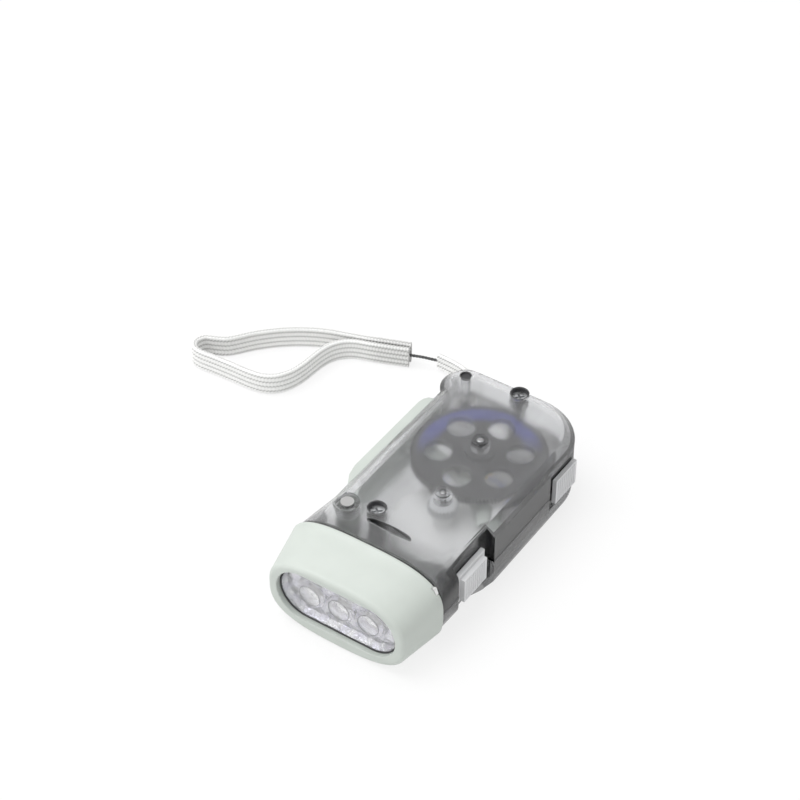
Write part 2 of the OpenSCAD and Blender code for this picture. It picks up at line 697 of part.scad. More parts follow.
// Half outline of a bulge, from its foot to its top
function bulge() = let (r = (eye_r * eye_r + eye_h * eye_h) / (2 * eye_h), reach = asin(eye_r / r))
    [for (i = [0:6]) let (t = reach * (1 - i / 6)) [r * sin(t), r * cos(t) - r + eye_h]];

// Reflector: one block with a cone for each lamp
module reflector() {
    color([0.9, 0.9, 0.92]) difference() {
        along_y(lamp_x, reflector_y, reflector_d) stadium(lens_w - 0.4, lens_h - 0.4);
        for (i = [-1:1]) translate([lamp_x + i * lamp_step, reflector_y, lamp_z]) rotate([-90, 0, 0]) {
            translate([0, 0, -sliver])
                cylinder(r1 = cup_r, r2 = led_r + 0.25, h = reflector_d - 1 + sliver);
            cylinder(r = led_r + 0.25, h = reflector_d + 1);
        }
    }
}

// Lamps: round-nosed, with a flange and two legs that stand on the board
module leds() {
    flange_y = reflector_y + reflector_d + joint_gap / 2;
    color([0.97, 0.97, 0.9, 0.6]) for (i = [-1:1]) translate([lamp_x + i * lamp_step, 0, lamp_z]) {
        translate([0, flange_y + flange_h, 0]) rotate([90, 0, 0]) rotate_extrude() polygon(concat([[0, 0],
            [led_r + flange_rim, 0], [led_r + flange_rim, flange_h], [led_r, flange_h]],
            [for (t = [0:15:90]) [led_r * cos(t), led_h + led_r * sin(t)]]));
        for (s = [-1, 1]) translate([s * 1.27, flange_y + 0.5, 0]) rotate([-90, 0, 0])
            cylinder(r = 0.25, h = board_y - flange_y - 0.5 - seat_play, $fn = 16);
    }
}

module led_board() {
    color([0.25, 0.45, 0.3]) along_y(lamp_x, board_y, board_t) stadium(lens_w - 1.2, lens_h - 1.2);
}

// White frame behind the lamp board, with the clip that shows in the seam
module lamp_holder() {
    color([0.93, 0.93, 0.92]) {
        difference() {
            along_y(lamp_x, holder_y, holder_t) stadium(holder_w, holder_h);
            along_y(lamp_x, holder_y - 1, holder_t + 2)
                stadium(holder_w - 2 * holder_rim, holder_h - 2 * holder_rim);
        }
        clip_bar(clip_y, clip_t, 0);
        translate([bezel_x, holder_y, lamp_z]) rotate([0, -clip_turn, 0])
            translate([clip_from, 0, -clip_w / 2]) cube([1.5, clip_y + clip_t - holder_y, clip_w]);
    }
}

// Lever: a hollow bar with its barrel, its curved rack and its catch
module press_lever() {
    bar = [[pivot_x - 3.5, pivot_y - 0.5], [pivot_x - 4.2, pivot_y + 3.5], [left_x - 1.2, pivot_y + 10],
        [lever_out + 0.8, pivot_y + 14], [lever_out, pivot_y + 18], [lever_out, lever_end - 4],
        [lever_out + 0.4, lever_end - 2], [lever_out + 1.4, lever_end - 0.6], [lever_out + 3, lever_end],
        [lever_in, lever_end - 0.6], [lever_in, pivot_y + 14], [pivot_x + 0.6, pivot_y + 3.4]];
    color([0.82, 0.88, 0.83]) difference() {
        union() {
            difference() {
                translate([0, 0, lever_z]) linear_extrude(lever_h) polygon(bar);
                translate([lever_out + lever_wall, pivot_y + 12, lever_z + 1.6])
                    cube([far, lever_end - pivot_y - 14.2, lever_h - 3.2]);
            }
            at_pivot() translate([0, 0, lever_z]) cylinder(r = barrel_r, h = lever_h);
            at_pivot() translate([0, 0, rack_z]) linear_extrude(rack_t) polygon(rack_outline());
            translate([lever_out + 1, catch_y, catch_z]) cube([catch_x - lever_out - 1, 1.5, catch_h]);
            translate([catch_x - 1.5, catch_y, catch_z]) cube([1.5, catch_lip, catch_h]);
        }
        at_pivot() cylinder(r = pivot_r + run_play, h = far);
        at_pivot() cylinder(r = spring_r + spring_wire / 2 + 0.7, h = lever_z + spring_room);
    }
}

// Outline of the curved rack round the pivot, from the bar to its free end
function rack_outline() = let (mesh = 90 - pivot_bearing, pitch = 360 / rack_teeth, first = 1,
    last = -ceil(lever_swing / pitch) - 2, inner = rack_r - 4.8, back = rack_r - 1.5 * rack_module)
    concat(arc(back, 103, mesh + (first + 0.8) * pitch, 9),
        [for (k = [first:-1:last]) each reverse(tooth(rack_teeth, rack_r, rack_module, mesh + k * pitch))],
        arc(inner, mesh + (last - 0.6) * pitch, 103, 16));

function reverse(list) = [for (i = [len(list) - 1:-1:0]) list[i]];

module lever_pivot_pin() {
    color([0.88, 0.89, 0.87]) at_pivot() translate([0, 0, floor_z + seat_play])
        cylinder(r = pivot_r, h = top_z - floor_z);
}

// Torsion spring round the pivot pin, with one leg on the lever and one on the casing
function spring_coil() = [for (i = [0:8 * spring_curls]) let (t = spring_start + 45 * i)
    [spring_r * cos(t), spring_r * sin(t), spring_z + spring_pitch * i / 8]];
function spring_path() = let (c = spring_coil(), last = len(c) - 1)
    concat([c[0] - spring_leg * leg_way(c[0])], c, [c[last] + spring_leg * leg_way(c[last])]);
function leg_way(p) = [-p.y, p.x, 0] / norm([p.x, p.y]);
spring_gap = min([for (i = [0:len(spring_coil()) - 1], k = [0:len(spring_coil()) - 1]) if (abs(i - k) > 4)
    norm(spring_coil()[i] - spring_coil()[k])]) - spring_wire;
echo(return_spring_least_gap = spring_gap);

module return_spring() {
    color("silver") at_pivot() tube(round_rings(spring_path(), spring_wire / 2, 6));
}

// Drive gear, with windows through its web
module drive_gear() {
    turn = atan2(rotor_y - gear_y, rotor_x - gear_x);
    color([0.28, 0.28, 0.31]) at_gear() difference() {
        union() {
            translate([0, 0, gear_z]) linear_extrude(gear_t)
                polygon(gear_outline(gear_teeth, gear_r, fine_module, turn));
            translate([0, 0, gear_z - hub_drop]) cylinder(r = hub_r, h = hub_top - gear_z + hub_drop);
        }
        cylinder(r = gear_pin_r + run_play, h = far);
        for (k = [0:5]) rotate(30 + 60 * k) translate([12.4, 0, 0]) cylinder(r = gear_window_r, h = far);
    }
}

// Clutch pinion: the small gear on the rack, with its ratchet wheel on top
module clutch_pinion() {
    turn = atan2(pivot_y - gear_y, pivot_x - gear_x) + 180 / clutch_teeth;
    ratchet = [for (k = [0:11]) each [ratchet_r * [cos(30 * k), sin(30 * k)],
        (ratchet_r - ratchet_step) * [cos(30 * k + 4), sin(30 * k + 4)]]];
    color([0.72, 0.6, 0.35]) at_gear() difference() {
        union() {
            translate([0, 0, rack_z - 0.3]) linear_extrude(ratchet_z - rack_z + 0.3)
                polygon(gear_outline(clutch_teeth, clutch_r, rack_module, turn));
            translate([0, 0, ratchet_z]) linear_extrude(ratchet_t) polygon(ratchet);
        }
        cylinder(r = gear_pin_r + run_play, h = far);
    }
}

// Two pawls on the underside of the drive gear
module clutch_pawls() {
    color([0.85, 0.85, 0.82]) at_gear() for (turn = [0, 180]) rotate(turn)
        translate([0, 0, ratchet_z]) linear_extrude(gear_z - ratchet_z)
            polygon(concat(arc(ratchet_r + 0.5, 15, 75, 8), arc(ratchet_r + 2, 75, 15, 8)));
}

module drive_gear_pin() {
    color("silver") at_gear() translate([0, 0, floor_z + seat_play])
        cylinder(r = gear_pin_r, h = top_z - floor_z + pin_proud);
}

module rotor_pinion() {
    turn = atan2(gear_y - rotor_y, gear_x - rotor_x) + 180 / pinion_teeth;
    color([0.85, 0.83, 0.75]) at_rotor() difference() {
        translate([0, 0, gear_z - 0.4]) linear_extrude(gear_t + 0.8)
            polygon(gear_outline(pinion_teeth, pinion_r, fine_module, turn));
        cylinder(r = shaft_r + seat_play, h = far);
    }
}

module rotor_shaft() {
    color("silver") at_rotor() translate([0, 0, floor_z + seat_play])
        cylinder(r = shaft_r, h = top_z - floor_z + pin_proud);
}

// Flywheel: a dish over the stator that carries the ring magnet
module flywheel() {
    color([0.9, 0.9, 0.88]) at_rotor() difference() {
        union() {
            translate([0, 0, rotor_top - web_t]) cylinder(r = flywheel_r, h = web_t);
            pipe(flywheel_r, flywheel_r - flywheel_wall, skirt_z, rotor_top - skirt_z);
            translate([0, 0, rotor_top - web_t]) cylinder(r = shaft_r + 2, h = web_t + 3.5);
        }
        cylinder(r = shaft_r + seat_play, h = far);
    }
}

module ring_magnet() {
    z0 = skirt_z + 0.2;
    color([0.3, 0.3, 0.32]) at_rotor() pipe(flywheel_r - flywheel_wall - seat_play,
        flywheel_r - flywheel_wall - magnet_t, z0, rotor_top - web_t - seat_play - z0);
}

// Claw plates of the stator, whose fingers pass between each other
module claw_plate(z0, finger_z, finger_h, turn) {
    at_rotor() difference() {
        union() {
            translate([0, 0, z0]) cylinder(r = claw_r, h = claw_t);
            intersection() {
                pipe(claw_r, claw_r - claw_t, finger_z, finger_h);
                for (k = [0:claws - 1]) rotate(turn + 360 * k / claws)
                    translate([0, -claw_w / 2, 0]) cube([far, claw_w, far]);
            }
        }
        cylinder(r = boss_r + seat_play, h = far);
    }
}

module claw_plate_lower() {
    color([0.7, 0.71, 0.72]) claw_plate(stator_z, stator_z + claw_t - sliver, coil_h - 0.4, 0);
}

module claw_plate_upper() {
    color([0.7, 0.71, 0.72]) claw_plate(upper_claw_z, coil_z + 0.4, coil_h - 0.3, 180 / claws);
}

module coil_bobbin() {
    flange_r = claw_r - claw_t - flange_gap;
    color([0.92, 0.92, 0.9]) at_rotor() difference() {
        union() {
            translate([0, 0, coil_z]) cylinder(r = boss_r + bobbin_wall, h = coil_h);
            for (z = [coil_z, coil_z + coil_h - bobbin_flange]) translate([0, 0, z])
                cylinder(r = flange_r, h = bobbin_flange);
        }
        cylinder(r = boss_r + seat_play, h = far);
    }
}

module coil_winding() {
    color([0.72, 0.4, 0.2]) at_rotor() pipe(claw_r - claw_t - winding_gap, boss_r + bobbin_wall + seat_play,
        coil_z + bobbin_flange + seat_play, coil_h - 2 * (bobbin_flange + seat_play));
}

// Two insulated leads, from the coil to the switch and to the lamp board
module lead_wires() {
    color([0.2, 0.3, 0.75]) for (w = [wire_a, wire_b]) tube(round_rings(stations(w, 2), wire_r, 8));
}

// Vertical grip ribs on a slide's face, from y0 over length l
module grip_ribs(x, y0, l, z0, h, count) {
    for (k = [0:count - 1]) translate([x, y0 + l * (k + 0.5) / count, z0])
        cylinder(r = 0.3, h = h, $fn = 24);
}

// Lamp slide: plate, raised pad and the stem that moves the switch
module lamp_slide() {
    x0 = recess_x + joint_gap;
    pad_x = recess_x + slide_proud;
    z0 = lamp_z - lamp_slide_h / 3;
    pad_l = lamp_slide_l - 2.4;
    pad_h = lamp_slide_h - 1.8;
    color([0.82, 0.83, 0.84]) {
        translate([x0, lamp_slide_y0, z0]) cube([slide_plate, lamp_slide_l, lamp_slide_h]);
        translate([x0, lamp_slide_y0 + 1.2, z0 + 0.4]) cube([pad_x - x0, pad_l, pad_h]);
        grip_ribs(pad_x, lamp_slide_y0 + 1.9, pad_l - 1.4, z0 + 1, pad_h - 1.2, 9);
        translate([block_x0 + 2.5, lamp_stem_y0, lamp_z - stem_w / 2])
            cube([x0 - block_x0 - 2.5 + sliver, stem_w, stem_w]);
    }
}

// Switch that the lamp slide's stem works in
module switch_block() {
    color([0.2, 0.2, 0.22]) difference() {
        translate([block_x0, block_y0, lamp_z - block_h / 2])
            cube([recess_in - block_x0 - joint_gap, block_l, block_h]);
        translate([block_x0 + 2, lamp_stem_y0 - move_gap, lamp_z - stem_w / 2 - move_gap])
            cube([far, stem_w + lamp_travel + 2 * move_gap, stem_w + 2 * move_gap]);
    }
}

// Lock slide: ribbed pad, and the bar across the casing that holds the lever in
module lock_slide() {
    x0 = lock_recess_x + joint_gap;
    pad_x = lock_recess_x + lock_proud;
    z0 = lamp_z - lock_slide_h / 2;
    color([0.82, 0.83, 0.84]) {
        translate([x0, lock_slide_y0, z0]) cube([pad_x - x0, lock_slide_l, lock_slide_h]);
        grip_ribs(pad_x, lock_slide_y0 + 0.8, lock_slide_l - 1.6, z0 + 0.7, lock_slide_h - 1.4, 9);
        translate([lock_bar_x0, lock_bar_y0, catch_z])
            cube([x0 - lock_bar_x0 + sliver, lock_bar_w, catch_h]);
        translate([tongue_x, lock_bar_y0 - lock_travel - 0.1, catch_z])
            cube([tongue_w, lock_travel + 1.1, catch_h]);
    }
}

// Two identical screws with a cross slot
module case_screws() {
    color("silver") for (s = screw_places) translate([s.x, s.y, screw_top - screw_head_h]) difference() {
        union() {
            translate([0, 0, sliver]) cylinder(r = screw_head_r, h = screw_head_h);
            translate([0, 0, -screw_l]) cylinder(r = screw_r, h = screw_l + 1);
        }
        for (turn = [45, 135]) rotate(turn)
            translate([-slot_l / 2, -slot_w / 2, screw_head_h - slot_d]) cube([slot_l, slot_w, far]);
    }
}

// Short braided tab, round its post inside the ear and out through the casing's slot
module strap_tab() {
    color([0.95, 0.95, 0.93]) {
        translate([post_x, post_y, 0]) pipe(post_r + 0.2 + tab_t, post_r + 0.2, tab_z - tab_w / 2, tab_w);
        tube(tape_rings(stations(tab_route, 2), tab_w, tab_t));
    }
}

module strap_link() {
    color([0.25, 0.25, 0.25]) tube(round_rings(link_route, link_r, 8));
}

// Wrist loop: one tape on edge, out and back to its own sewn end
module strap_loop() {
    route = [for (p = loop_route) [p.x, p.y, tape_w / 2]];
    color([0.95, 0.95, 0.93]) tube(tape_rings(stations(route, 1), tape_w, tape_t));
}

upper_shell();
lower_shell();
bezel();
lens();
reflector();
leds();
led_board();
lamp_holder();
press_lever();
lever_pivot_pin();
return_spring();
drive_gear();
clutch_pinion();
clutch_pawls();
drive_gear_pin();
rotor_pinion();
rotor_shaft();
flywheel();
ring_magnet();
claw_plate_lower();
claw_plate_upper();
coil_bobbin();
coil_winding();
lead_wires();
lamp_slide();
switch_block();
lock_slide();
case_screws();
strap_tab();
strap_link();
strap_loop();
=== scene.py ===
"""Looks of a hand-press dynamo flashlight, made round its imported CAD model.

The script gives the solids their finishes, replaces the moulded, braided and wound ones by finer pieces, and sets
up the studio and the camera. Sizes are in millimetres, and places are in the frame of the CAD model.
"""

import json
import logging
from bisect import bisect_right
from collections.abc import Callable, Sequence
from dataclasses import dataclass, field
from enum import Enum
from functools import reduce
from math import atan, copysign, cos, hypot, pi, radians, sin, sqrt, tanh, tau
from typing import Any

import bmesh
import bpy
from bmesh.types import BMesh
from bpy.types import Material, NodeSocket, Object, World
from mathutils import Matrix, Vector
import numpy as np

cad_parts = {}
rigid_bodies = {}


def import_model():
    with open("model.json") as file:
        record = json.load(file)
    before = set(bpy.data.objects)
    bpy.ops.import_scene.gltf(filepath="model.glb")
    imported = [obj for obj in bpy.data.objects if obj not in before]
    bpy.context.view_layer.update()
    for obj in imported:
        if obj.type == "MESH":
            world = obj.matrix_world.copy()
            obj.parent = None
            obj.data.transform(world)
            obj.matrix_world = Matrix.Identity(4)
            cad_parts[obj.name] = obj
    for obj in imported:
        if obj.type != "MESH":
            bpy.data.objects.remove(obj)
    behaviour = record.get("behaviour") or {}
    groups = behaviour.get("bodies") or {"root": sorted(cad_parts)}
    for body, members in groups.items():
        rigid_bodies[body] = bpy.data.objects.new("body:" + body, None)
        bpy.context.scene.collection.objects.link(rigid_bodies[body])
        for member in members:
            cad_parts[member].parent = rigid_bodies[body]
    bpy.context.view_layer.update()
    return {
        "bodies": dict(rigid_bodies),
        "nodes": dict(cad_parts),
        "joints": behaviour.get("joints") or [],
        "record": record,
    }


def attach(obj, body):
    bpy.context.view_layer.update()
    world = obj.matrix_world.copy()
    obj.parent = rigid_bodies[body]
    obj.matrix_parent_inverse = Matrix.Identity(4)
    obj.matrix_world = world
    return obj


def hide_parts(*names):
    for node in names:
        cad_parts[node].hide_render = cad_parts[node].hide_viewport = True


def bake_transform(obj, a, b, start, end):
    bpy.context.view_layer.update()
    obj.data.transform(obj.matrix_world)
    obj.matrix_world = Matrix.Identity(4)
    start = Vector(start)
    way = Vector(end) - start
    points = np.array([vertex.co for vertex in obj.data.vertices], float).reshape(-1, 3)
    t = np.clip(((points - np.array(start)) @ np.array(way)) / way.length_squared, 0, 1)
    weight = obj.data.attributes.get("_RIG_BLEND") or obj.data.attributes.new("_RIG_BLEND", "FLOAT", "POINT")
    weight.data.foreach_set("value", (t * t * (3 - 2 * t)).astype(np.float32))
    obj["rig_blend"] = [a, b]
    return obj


MM = 0.001
LOG = logging.getLogger("flashlight")
Pair = tuple[float, float]
Point = tuple[float, float, float]
Colour = tuple[float, float, float]
Band = tuple[float, float, float, float]
Spot = tuple[float, float, float, float, float]
Place = Callable[[float, float], Vector]
Tone = Callable[[float, float], float]


class Slot(Enum):
    """Finishes of the part, by the names of the record's material slots."""

    SMOKED = "smoked_shell"
    MINT = "mint_plastic"
    CLEAR = "clear_lens"
    CHROME = "chromed_plastic"
    RESIN = "lamp_resin"
    BOARD = "board"
    WHITE = "white_plastic"
    STEEL = "steel"
    DARK_GEAR = "dark_gear_plastic"
    BRASS = "brass_gear"
    FERRITE = "ferrite"
    PLATED = "plated_steel"
    COPPER = "copper_wire"
    BLUE_WIRE = "blue_wire"
    GREY = "grey_plastic"
    BLACK = "black_plastic"
    BRAID = "white_braid"
    LINK = "dark_cord"


class Body(Enum):
    """Bodies of the CAD model that pieces ride on."""

    CASING = "casing"
    LEVER = "lever"
    ROTOR = "rotor"
    LAMP = "lamp_switch"
    LOCK = "lever_lock"


Finishes = Sequence[tuple[str, Slot]]


class Ring(Enum):
    """Kinds of ring in the bezel's loft."""

    JOINT = "rear edge, notched for the clip"
    NOTCH = "skin beside the clip"
    SKIN = "tapering skin"
    LIP = "rounded front edge"
    SLOT = "round-ended window"
    INSIDE = "hollow behind the lens"


class Graph:
    """Node tree of a material or of the world, with short calls for the nodes that the finishes share."""

    def __init__(self, owner: Material | World) -> None:
        """Starts from the nodes that the owner is made with.

        Args:
            owner: material or world whose tree it is.
        """
        owner.use_nodes = True
        self.tree = owner.node_tree
        self.coords = self.add("TexCoord").outputs

    def add(self, kind: str, inputs: dict[str | int, Any] | None = None, **settings: Any) -> Any:
        """Adds a node.

        Args:
            kind: Blender's name of the node type, less its first word ShaderNode.
            inputs: values or sockets for its inputs.
            **settings: attributes of the node.

        Returns:
            The new node.
        """
        node = self.tree.nodes.new(f"ShaderNode{kind}")
        for key, value in settings.items():
            setattr(node, key, value)
        for key, value in (inputs or {}).items():
            self.feed(node.inputs[key], value)
        return node

    def feed(self, socket: NodeSocket, value: Any) -> None:
        """Links an input to a socket, or sets it to a plain value.

        Args:
            socket: the input.
            value: another node's output, or the value.
        """
        if isinstance(value, NodeSocket):
            self.tree.links.new(value, socket)
        else:
            socket.default_value = value

    def principled(self, **values: Any) -> None:
        """Feeds the Principled shader's inputs, named with underscores for blanks."""
        for key, value in values.items():
            self.feed(self.tree.nodes["Principled BSDF"].inputs[key.replace("_", " ")], value)

    def noise(self, size: float, detail: float = 2.0, stretch: Point = (1, 1, 1)) -> NodeSocket:
        """Noise over the object.

        Args:
            size: size of its spots.
            detail: how many finer octaves it has.
            stretch: how often it repeats along each axis.

        Returns:
            The noise's value, from 0 to 1.
        """
        turned = self.add("Mapping", {"Vector": self.coords["Object"], "Scale": stretch})
        return self.add("TexNoise", {
            "Vector": turned.outputs["Vector"], "Scale": 1 / (size * MM), "Detail": detail}).outputs["Fac"]

    def spread(self, value: NodeSocket, low: float, high: float, start: float = 0.3,
               end: float = 0.7) -> NodeSocket:
        """Maps a value from start..end to low..high, without going past them."""
        return self.add("MapRange", {"Value": value, "From Min": start, "From Max": end,
                                     "To Min": low, "To Max": high}).outputs["Result"]

    def maths(self, kind: str, first: Any, second: Any = 0.0) -> NodeSocket:
        """Result of one sum."""
        return self.add("Math", {0: first, 1: second}, operation=kind).outputs[0]

    def times(self, *values: Any) -> NodeSocket:
        """Product of some values."""
        return reduce(lambda a, b: self.maths("MULTIPLY", a, b), values)

    def most(self, *values: Any) -> NodeSocket:
        """Largest of some values."""
        return reduce(lambda a, b: self.maths("MAXIMUM", a, b), values)

    def blend(self, share: NodeSocket, first: Any, second: Any) -> NodeSocket:
        """Colour between two others, which are colours or sockets, by a share from 0 to 1."""
        a, b = (c if isinstance(c, NodeSocket) else (*c, 1.0) for c in (first, second))
        return self.add("Mix", {"Factor": share, 6: a, 7: b}, data_type="RGBA").outputs[2]

    def bump(self, height: NodeSocket, depth: float, strength: float = 1.0) -> NodeSocket:
        """Normal of a relief of some depth."""
        return self.add("Bump", {
            "Height": height, "Distance": depth * MM, "Strength": strength}).outputs["Normal"]

    def about(self, x: float = 0.0, y: float = 0.0, size: Pair = (1, 1), turn: float = 0.0) -> NodeSocket:
        """Object coordinates about an upright axis, in millimetres or in shares of a size.

        Args:
            x: place of the axis.
            y: place of the axis.
            size: lengths across and along that count as one.
            turn: degrees by which the coordinates are turned.

        Returns:
            The coordinates.
        """
        return self.add("Mapping", {
            "Vector": self.coords["Object"], "Location": (x * MM, y * MM, 0),
            "Rotation": (0, 0, radians(turn)), "Scale": (size[0] * MM, size[1] * MM, MM)},
            vector_type="TEXTURE").outputs["Vector"]

    def axes(self, vector: NodeSocket) -> Any:
        """The three parts of a vector, by their letters."""
        return self.add("SeparateXYZ", {0: vector}).outputs

    def reach(self, vector: NodeSocket) -> NodeSocket:
        """Length of a vector seen from above."""
        flat = self.add("VectorMath", {0: vector, 1: (1, 1, 0)}, operation="MULTIPLY")
        return self.add("VectorMath", {0: flat.outputs["Vector"]}, operation="LENGTH").outputs["Value"]


class Finish:
    """A finish of the part."""

    def paint(self, g: Graph) -> None:
        """Adds the finish's nodes to a tree."""
        raise NotImplementedError


def shade(colour: Colour, share: float) -> Colour:
    """The colour, made darker or paler by a share of itself."""
    return tuple(min(1.0, c * share) for c in colour)


@dataclass(frozen=True)
class Moulded(Finish):
    """Moulded plastic with a faint mottle, a spark-eroded grain and handled, smoother spots."""

    colour: Colour
    roughness: float = 0.45
    grain: float = 0.03
    mottle: float = 0.06
    grey_above: float | None = None
    grey: float = 0.42

    def paint(self, g: Graph) -> None:
        """Adds the plastic, which is greyer above a level.

        Args:
            g: node tree to add to.
        """
        tone = g.blend(g.spread(g.noise(7, 3), 0, 1), shade(self.colour, 1 - self.mottle), self.colour)
        if self.grey_above:
            level = g.axes(g.about())["Z"]
            end = g.spread(level, 0, 1, self.grey_above - 0.5, self.grey_above + 0.5)
            tone = g.blend(end, tone, shade(self.colour, self.grey))
        g.principled(
            Base_Color=tone,
            Roughness=g.spread(g.noise(3.5, 4), self.roughness - 0.06, self.roughness + 0.08),
            Normal=g.bump(g.noise(0.22, 2), self.grain, 0.6),
        )


@dataclass(frozen=True)
class GearWithPaintedSheen(Finish):
    """Dark see-through gear plastic, whose violet tint towards its rim is painted as a sheen in the rear half
    only.
    """

    colour: Colour
    tint: Colour
    centre: Pair = (1.0, 22.0)
    turn: float = 34.0
    inner: Band = (0, 1, 13.0, 15.4)
    outer: Band = (1, 0, 18.2, 19.6)
    rear: Band = (0, 1, -1.0, 8.0)

    def paint(self, g: Graph) -> None:
        """Adds the plastic, with a painted violet sheen in a band of the rear half.

        Args:
            g: node tree to add to.
        """
        around = g.about(*self.centre, turn=self.turn)
        reach = g.reach(around)
        # Painted sheen: the violet tint shows only in a band of the rear half.
        share = g.times(g.spread(reach, *self.inner), g.spread(reach, *self.outer),
                        g.spread(g.axes(around)["Y"], *self.rear))
        tone = g.blend(g.spread(g.noise(5, 3), 0, 1), shade(self.colour, 0.85), self.colour)
        g.principled(
            Base_Color=g.blend(share, tone, self.tint),
            Roughness=g.spread(g.noise(2.5, 3), 0.32, 0.48),
            Specular_IOR_Level=0.25,
            Alpha=g.spread(g.noise(9, 2), 0.96, 0.99),
            Normal=g.bump(g.noise(0.25, 2), 0.02, 0.5),
        )


@dataclass(frozen=True)
class Smoked(Finish):
    """Smoky moulding with a frosted inside, so that deeper pieces blur; painted shade darkens its walls, dips and
    joints.

    A band gives two shares and the two places between which they change. A spot gives its middle, its half sizes
    and its share.
    """

    face: Colour
    wall: Colour
    milk: float = 0.035
    frost: float = 0.19
    # Painted shade: upright walls, more on the right and less at the rear ends where light comes through; dips
    # and pin rings in the top; the gear's shadow on the floor; the parting line, the joint with the bezel, the
    # floor, the right foot and the neck.
    right: Band = (0.6, 0.97, 8.0, 16.0)
    upright: Band = (1, 0, 0.3, 0.85)
    across: Band = (0, 1, 0.35, 0.7)
    rear: Band = (0, 0.95, 20.0, 32.0)
    rear_rise: Band = (0, 1, 12.0, 14.0)
    top: Band = (0, 1, 24.2, 24.4)
    dips: Sequence[Spot] = (
        (-0.295, -23.56, 7.0, 1.3, 0.95), (-16.795, -20.96, 3.7, 3.7, 0.8), (1.0, 22.0, 2.4, 2.4, 0.45),
        (3.985, -2.67, 2.35, 2.35, 0.45))
    low: Band = (1, 0, 10.0, 13.0)
    gear_shadow: Spot = (6.0, 33.0, 22.0, 16.0, 0.93)
    parting_z: float = 13.2
    parting: Band = (1, 0, 0.4, 0.55)
    joint: Band = (1, 0, -32.55, -32.3)
    floor: Band = (0.3, 0, 3.0, 5.0)
    foot: Band = (0.9, 0, 7.0, 9.0)
    foot_right: Band = (0, 1, 15.0, 19.0)
    neck: Band = (0.45, 0, -31.0, -21.0)

    def depth(self, g: Graph) -> NodeSocket:
        """Share of painted shade on the plastic there: upright walls, dips and rings, joints, floor and neck, and
        the gear's shadow.

        Args:
            g: node tree to add to.

        Returns:
            The share, from 0 to 1.
        """
        x, y, z = g.axes(g.about())
        lean = g.axes(g.coords["Normal"])
        # Painted shade and dark reflection of the upright walls, lifted by painted light at the rear ends.
        walls = g.times(g.spread(x, *self.right), g.spread(g.maths("ABSOLUTE", lean["Z"]), *self.upright))
        pale = g.times(g.spread(g.maths("ABSOLUTE", lean["Y"]), *self.across), g.spread(y, *self.rear),
                       g.spread(z, *self.rear_rise))
        shares = [g.times(walls, g.maths("SUBTRACT", 1.0, pale))]
        top, low = g.spread(z, *self.top), g.spread(z, *self.low)
        # Painted shade in the dips and pin rings of the top, and the gear's painted shadow on the floor below it.
        for spot, level, rim in [*((dip, top, 0.96) for dip in self.dips), (self.gear_shadow, low, 0.8)]:
            reach = g.reach(g.about(*spot[:2], size=spot[2:4]))
            shares.append(g.times(level, g.spread(reach, spot[4], 0, rim, 2 - rim)))
        # Painted shade along the parting line, at the joint with the bezel, on the floor, the right foot and the
        # neck.
        off = g.maths("ABSOLUTE", g.maths("SUBTRACT", z, self.parting_z))
        shares += [g.spread(off, *self.parting), g.spread(y, *self.joint), g.spread(z, *self.floor),
                   g.times(g.spread(z, *self.foot), g.spread(x, *self.foot_right)), g.spread(y, *self.neck)]
        return g.most(*shares)

    def paint(self, g: Graph) -> None:
        """Adds the smoky plastic.

        Args:
            g: node tree to add to.
        """
        haze = g.noise(16, 3)
        # The wall colour is the painted shade, laid on by the share above.
        tone = g.blend(self.depth(g), self.face, self.wall)
        g.principled(
            Base_Color=g.blend(g.spread(haze, 0, 0.06), tone, self.wall),
            Roughness=g.spread(g.noise(6, 4), self.frost - 0.03, self.frost + 0.04),
            IOR=1.45,
            Transmission_Weight=1 - self.milk,
            Coat_Weight=0.2,
            Coat_Roughness=0.05,
            Alpha=g.spread(haze, 0.92, 0.96),
            Normal=g.bump(g.noise(2.4, 2), 0.006, 0.4),
        )


@dataclass(frozen=True)
class Clear(Finish):
    """Clear moulded resin with faint flow lines."""

    colour: Colour
    milk: float
    roughness: float = 0.03
    body: float = 0.72

    def paint(self, g: Graph) -> None:
        """Adds the resin.

        Args:
            g: node tree to add to.
        """
        flow = g.noise(4, 3, (1, 1, 2.5))
        g.principled(
            Base_Color=g.blend(g.spread(flow, 0, 1), shade(self.colour, 0.96), self.colour),
            Roughness=g.spread(g.noise(2, 3), self.roughness, self.roughness + 0.05),
            IOR=1.49,
            Transmission_Weight=1 - self.milk,
            Alpha=g.spread(flow, self.body, self.body + 0.06),
            Normal=g.bump(flow, 0.02, 0.3),
        )


@dataclass(frozen=True)
class Metal(Finish):
    """Bare or plated metal with turning marks and fingered, duller spots."""

    colour: Colour
    roughness: float = 0.25
    marks: float = 0.015
    size: float = 0.3

    def paint(self, g: Graph) -> None:
        """Adds the metal.

        Args:
            g: node tree to add to.
        """
        dull = g.noise(1.8, 4)
        g.principled(
            Base_Color=g.blend(g.spread(dull, 0, 1), shade(self.colour, 0.8), self.colour),
            Metallic=1.0,
            Roughness=g.spread(dull, self.roughness - 0.08, self.roughness + 0.12),
            Normal=g.bump(g.noise(self.size, 2, (1, 1, 4)), self.marks, 0.6),
        )


@dataclass(frozen=True)
class Mirror(Finish):
    """Bright metallised plastic, whose small facets break up what it mirrors."""

    colour: Colour
    tint: Colour
    facet: float = 1.4

    def paint(self, g: Graph) -> None:
        """Adds the metallised skin.

        Args:
            g: node tree to add to.
        """
        cells = g.add("TexVoronoi", {"Vector": g.coords["Object"], "Scale": 1 / (self.facet * MM)})
        slope = g.maths("ADD", cells.outputs["Distance"], g.noise(1.2, 2))
        g.principled(
            Base_Color=g.blend(g.spread(g.noise(3.2, 2), 0, 1, 0.42, 0.62), self.colour, self.tint),
            Metallic=1.0,
            Roughness=g.spread(g.noise(1.5, 3), 0.03, 0.1),
            Normal=g.bump(slope, 0.45, 0.5),
        )


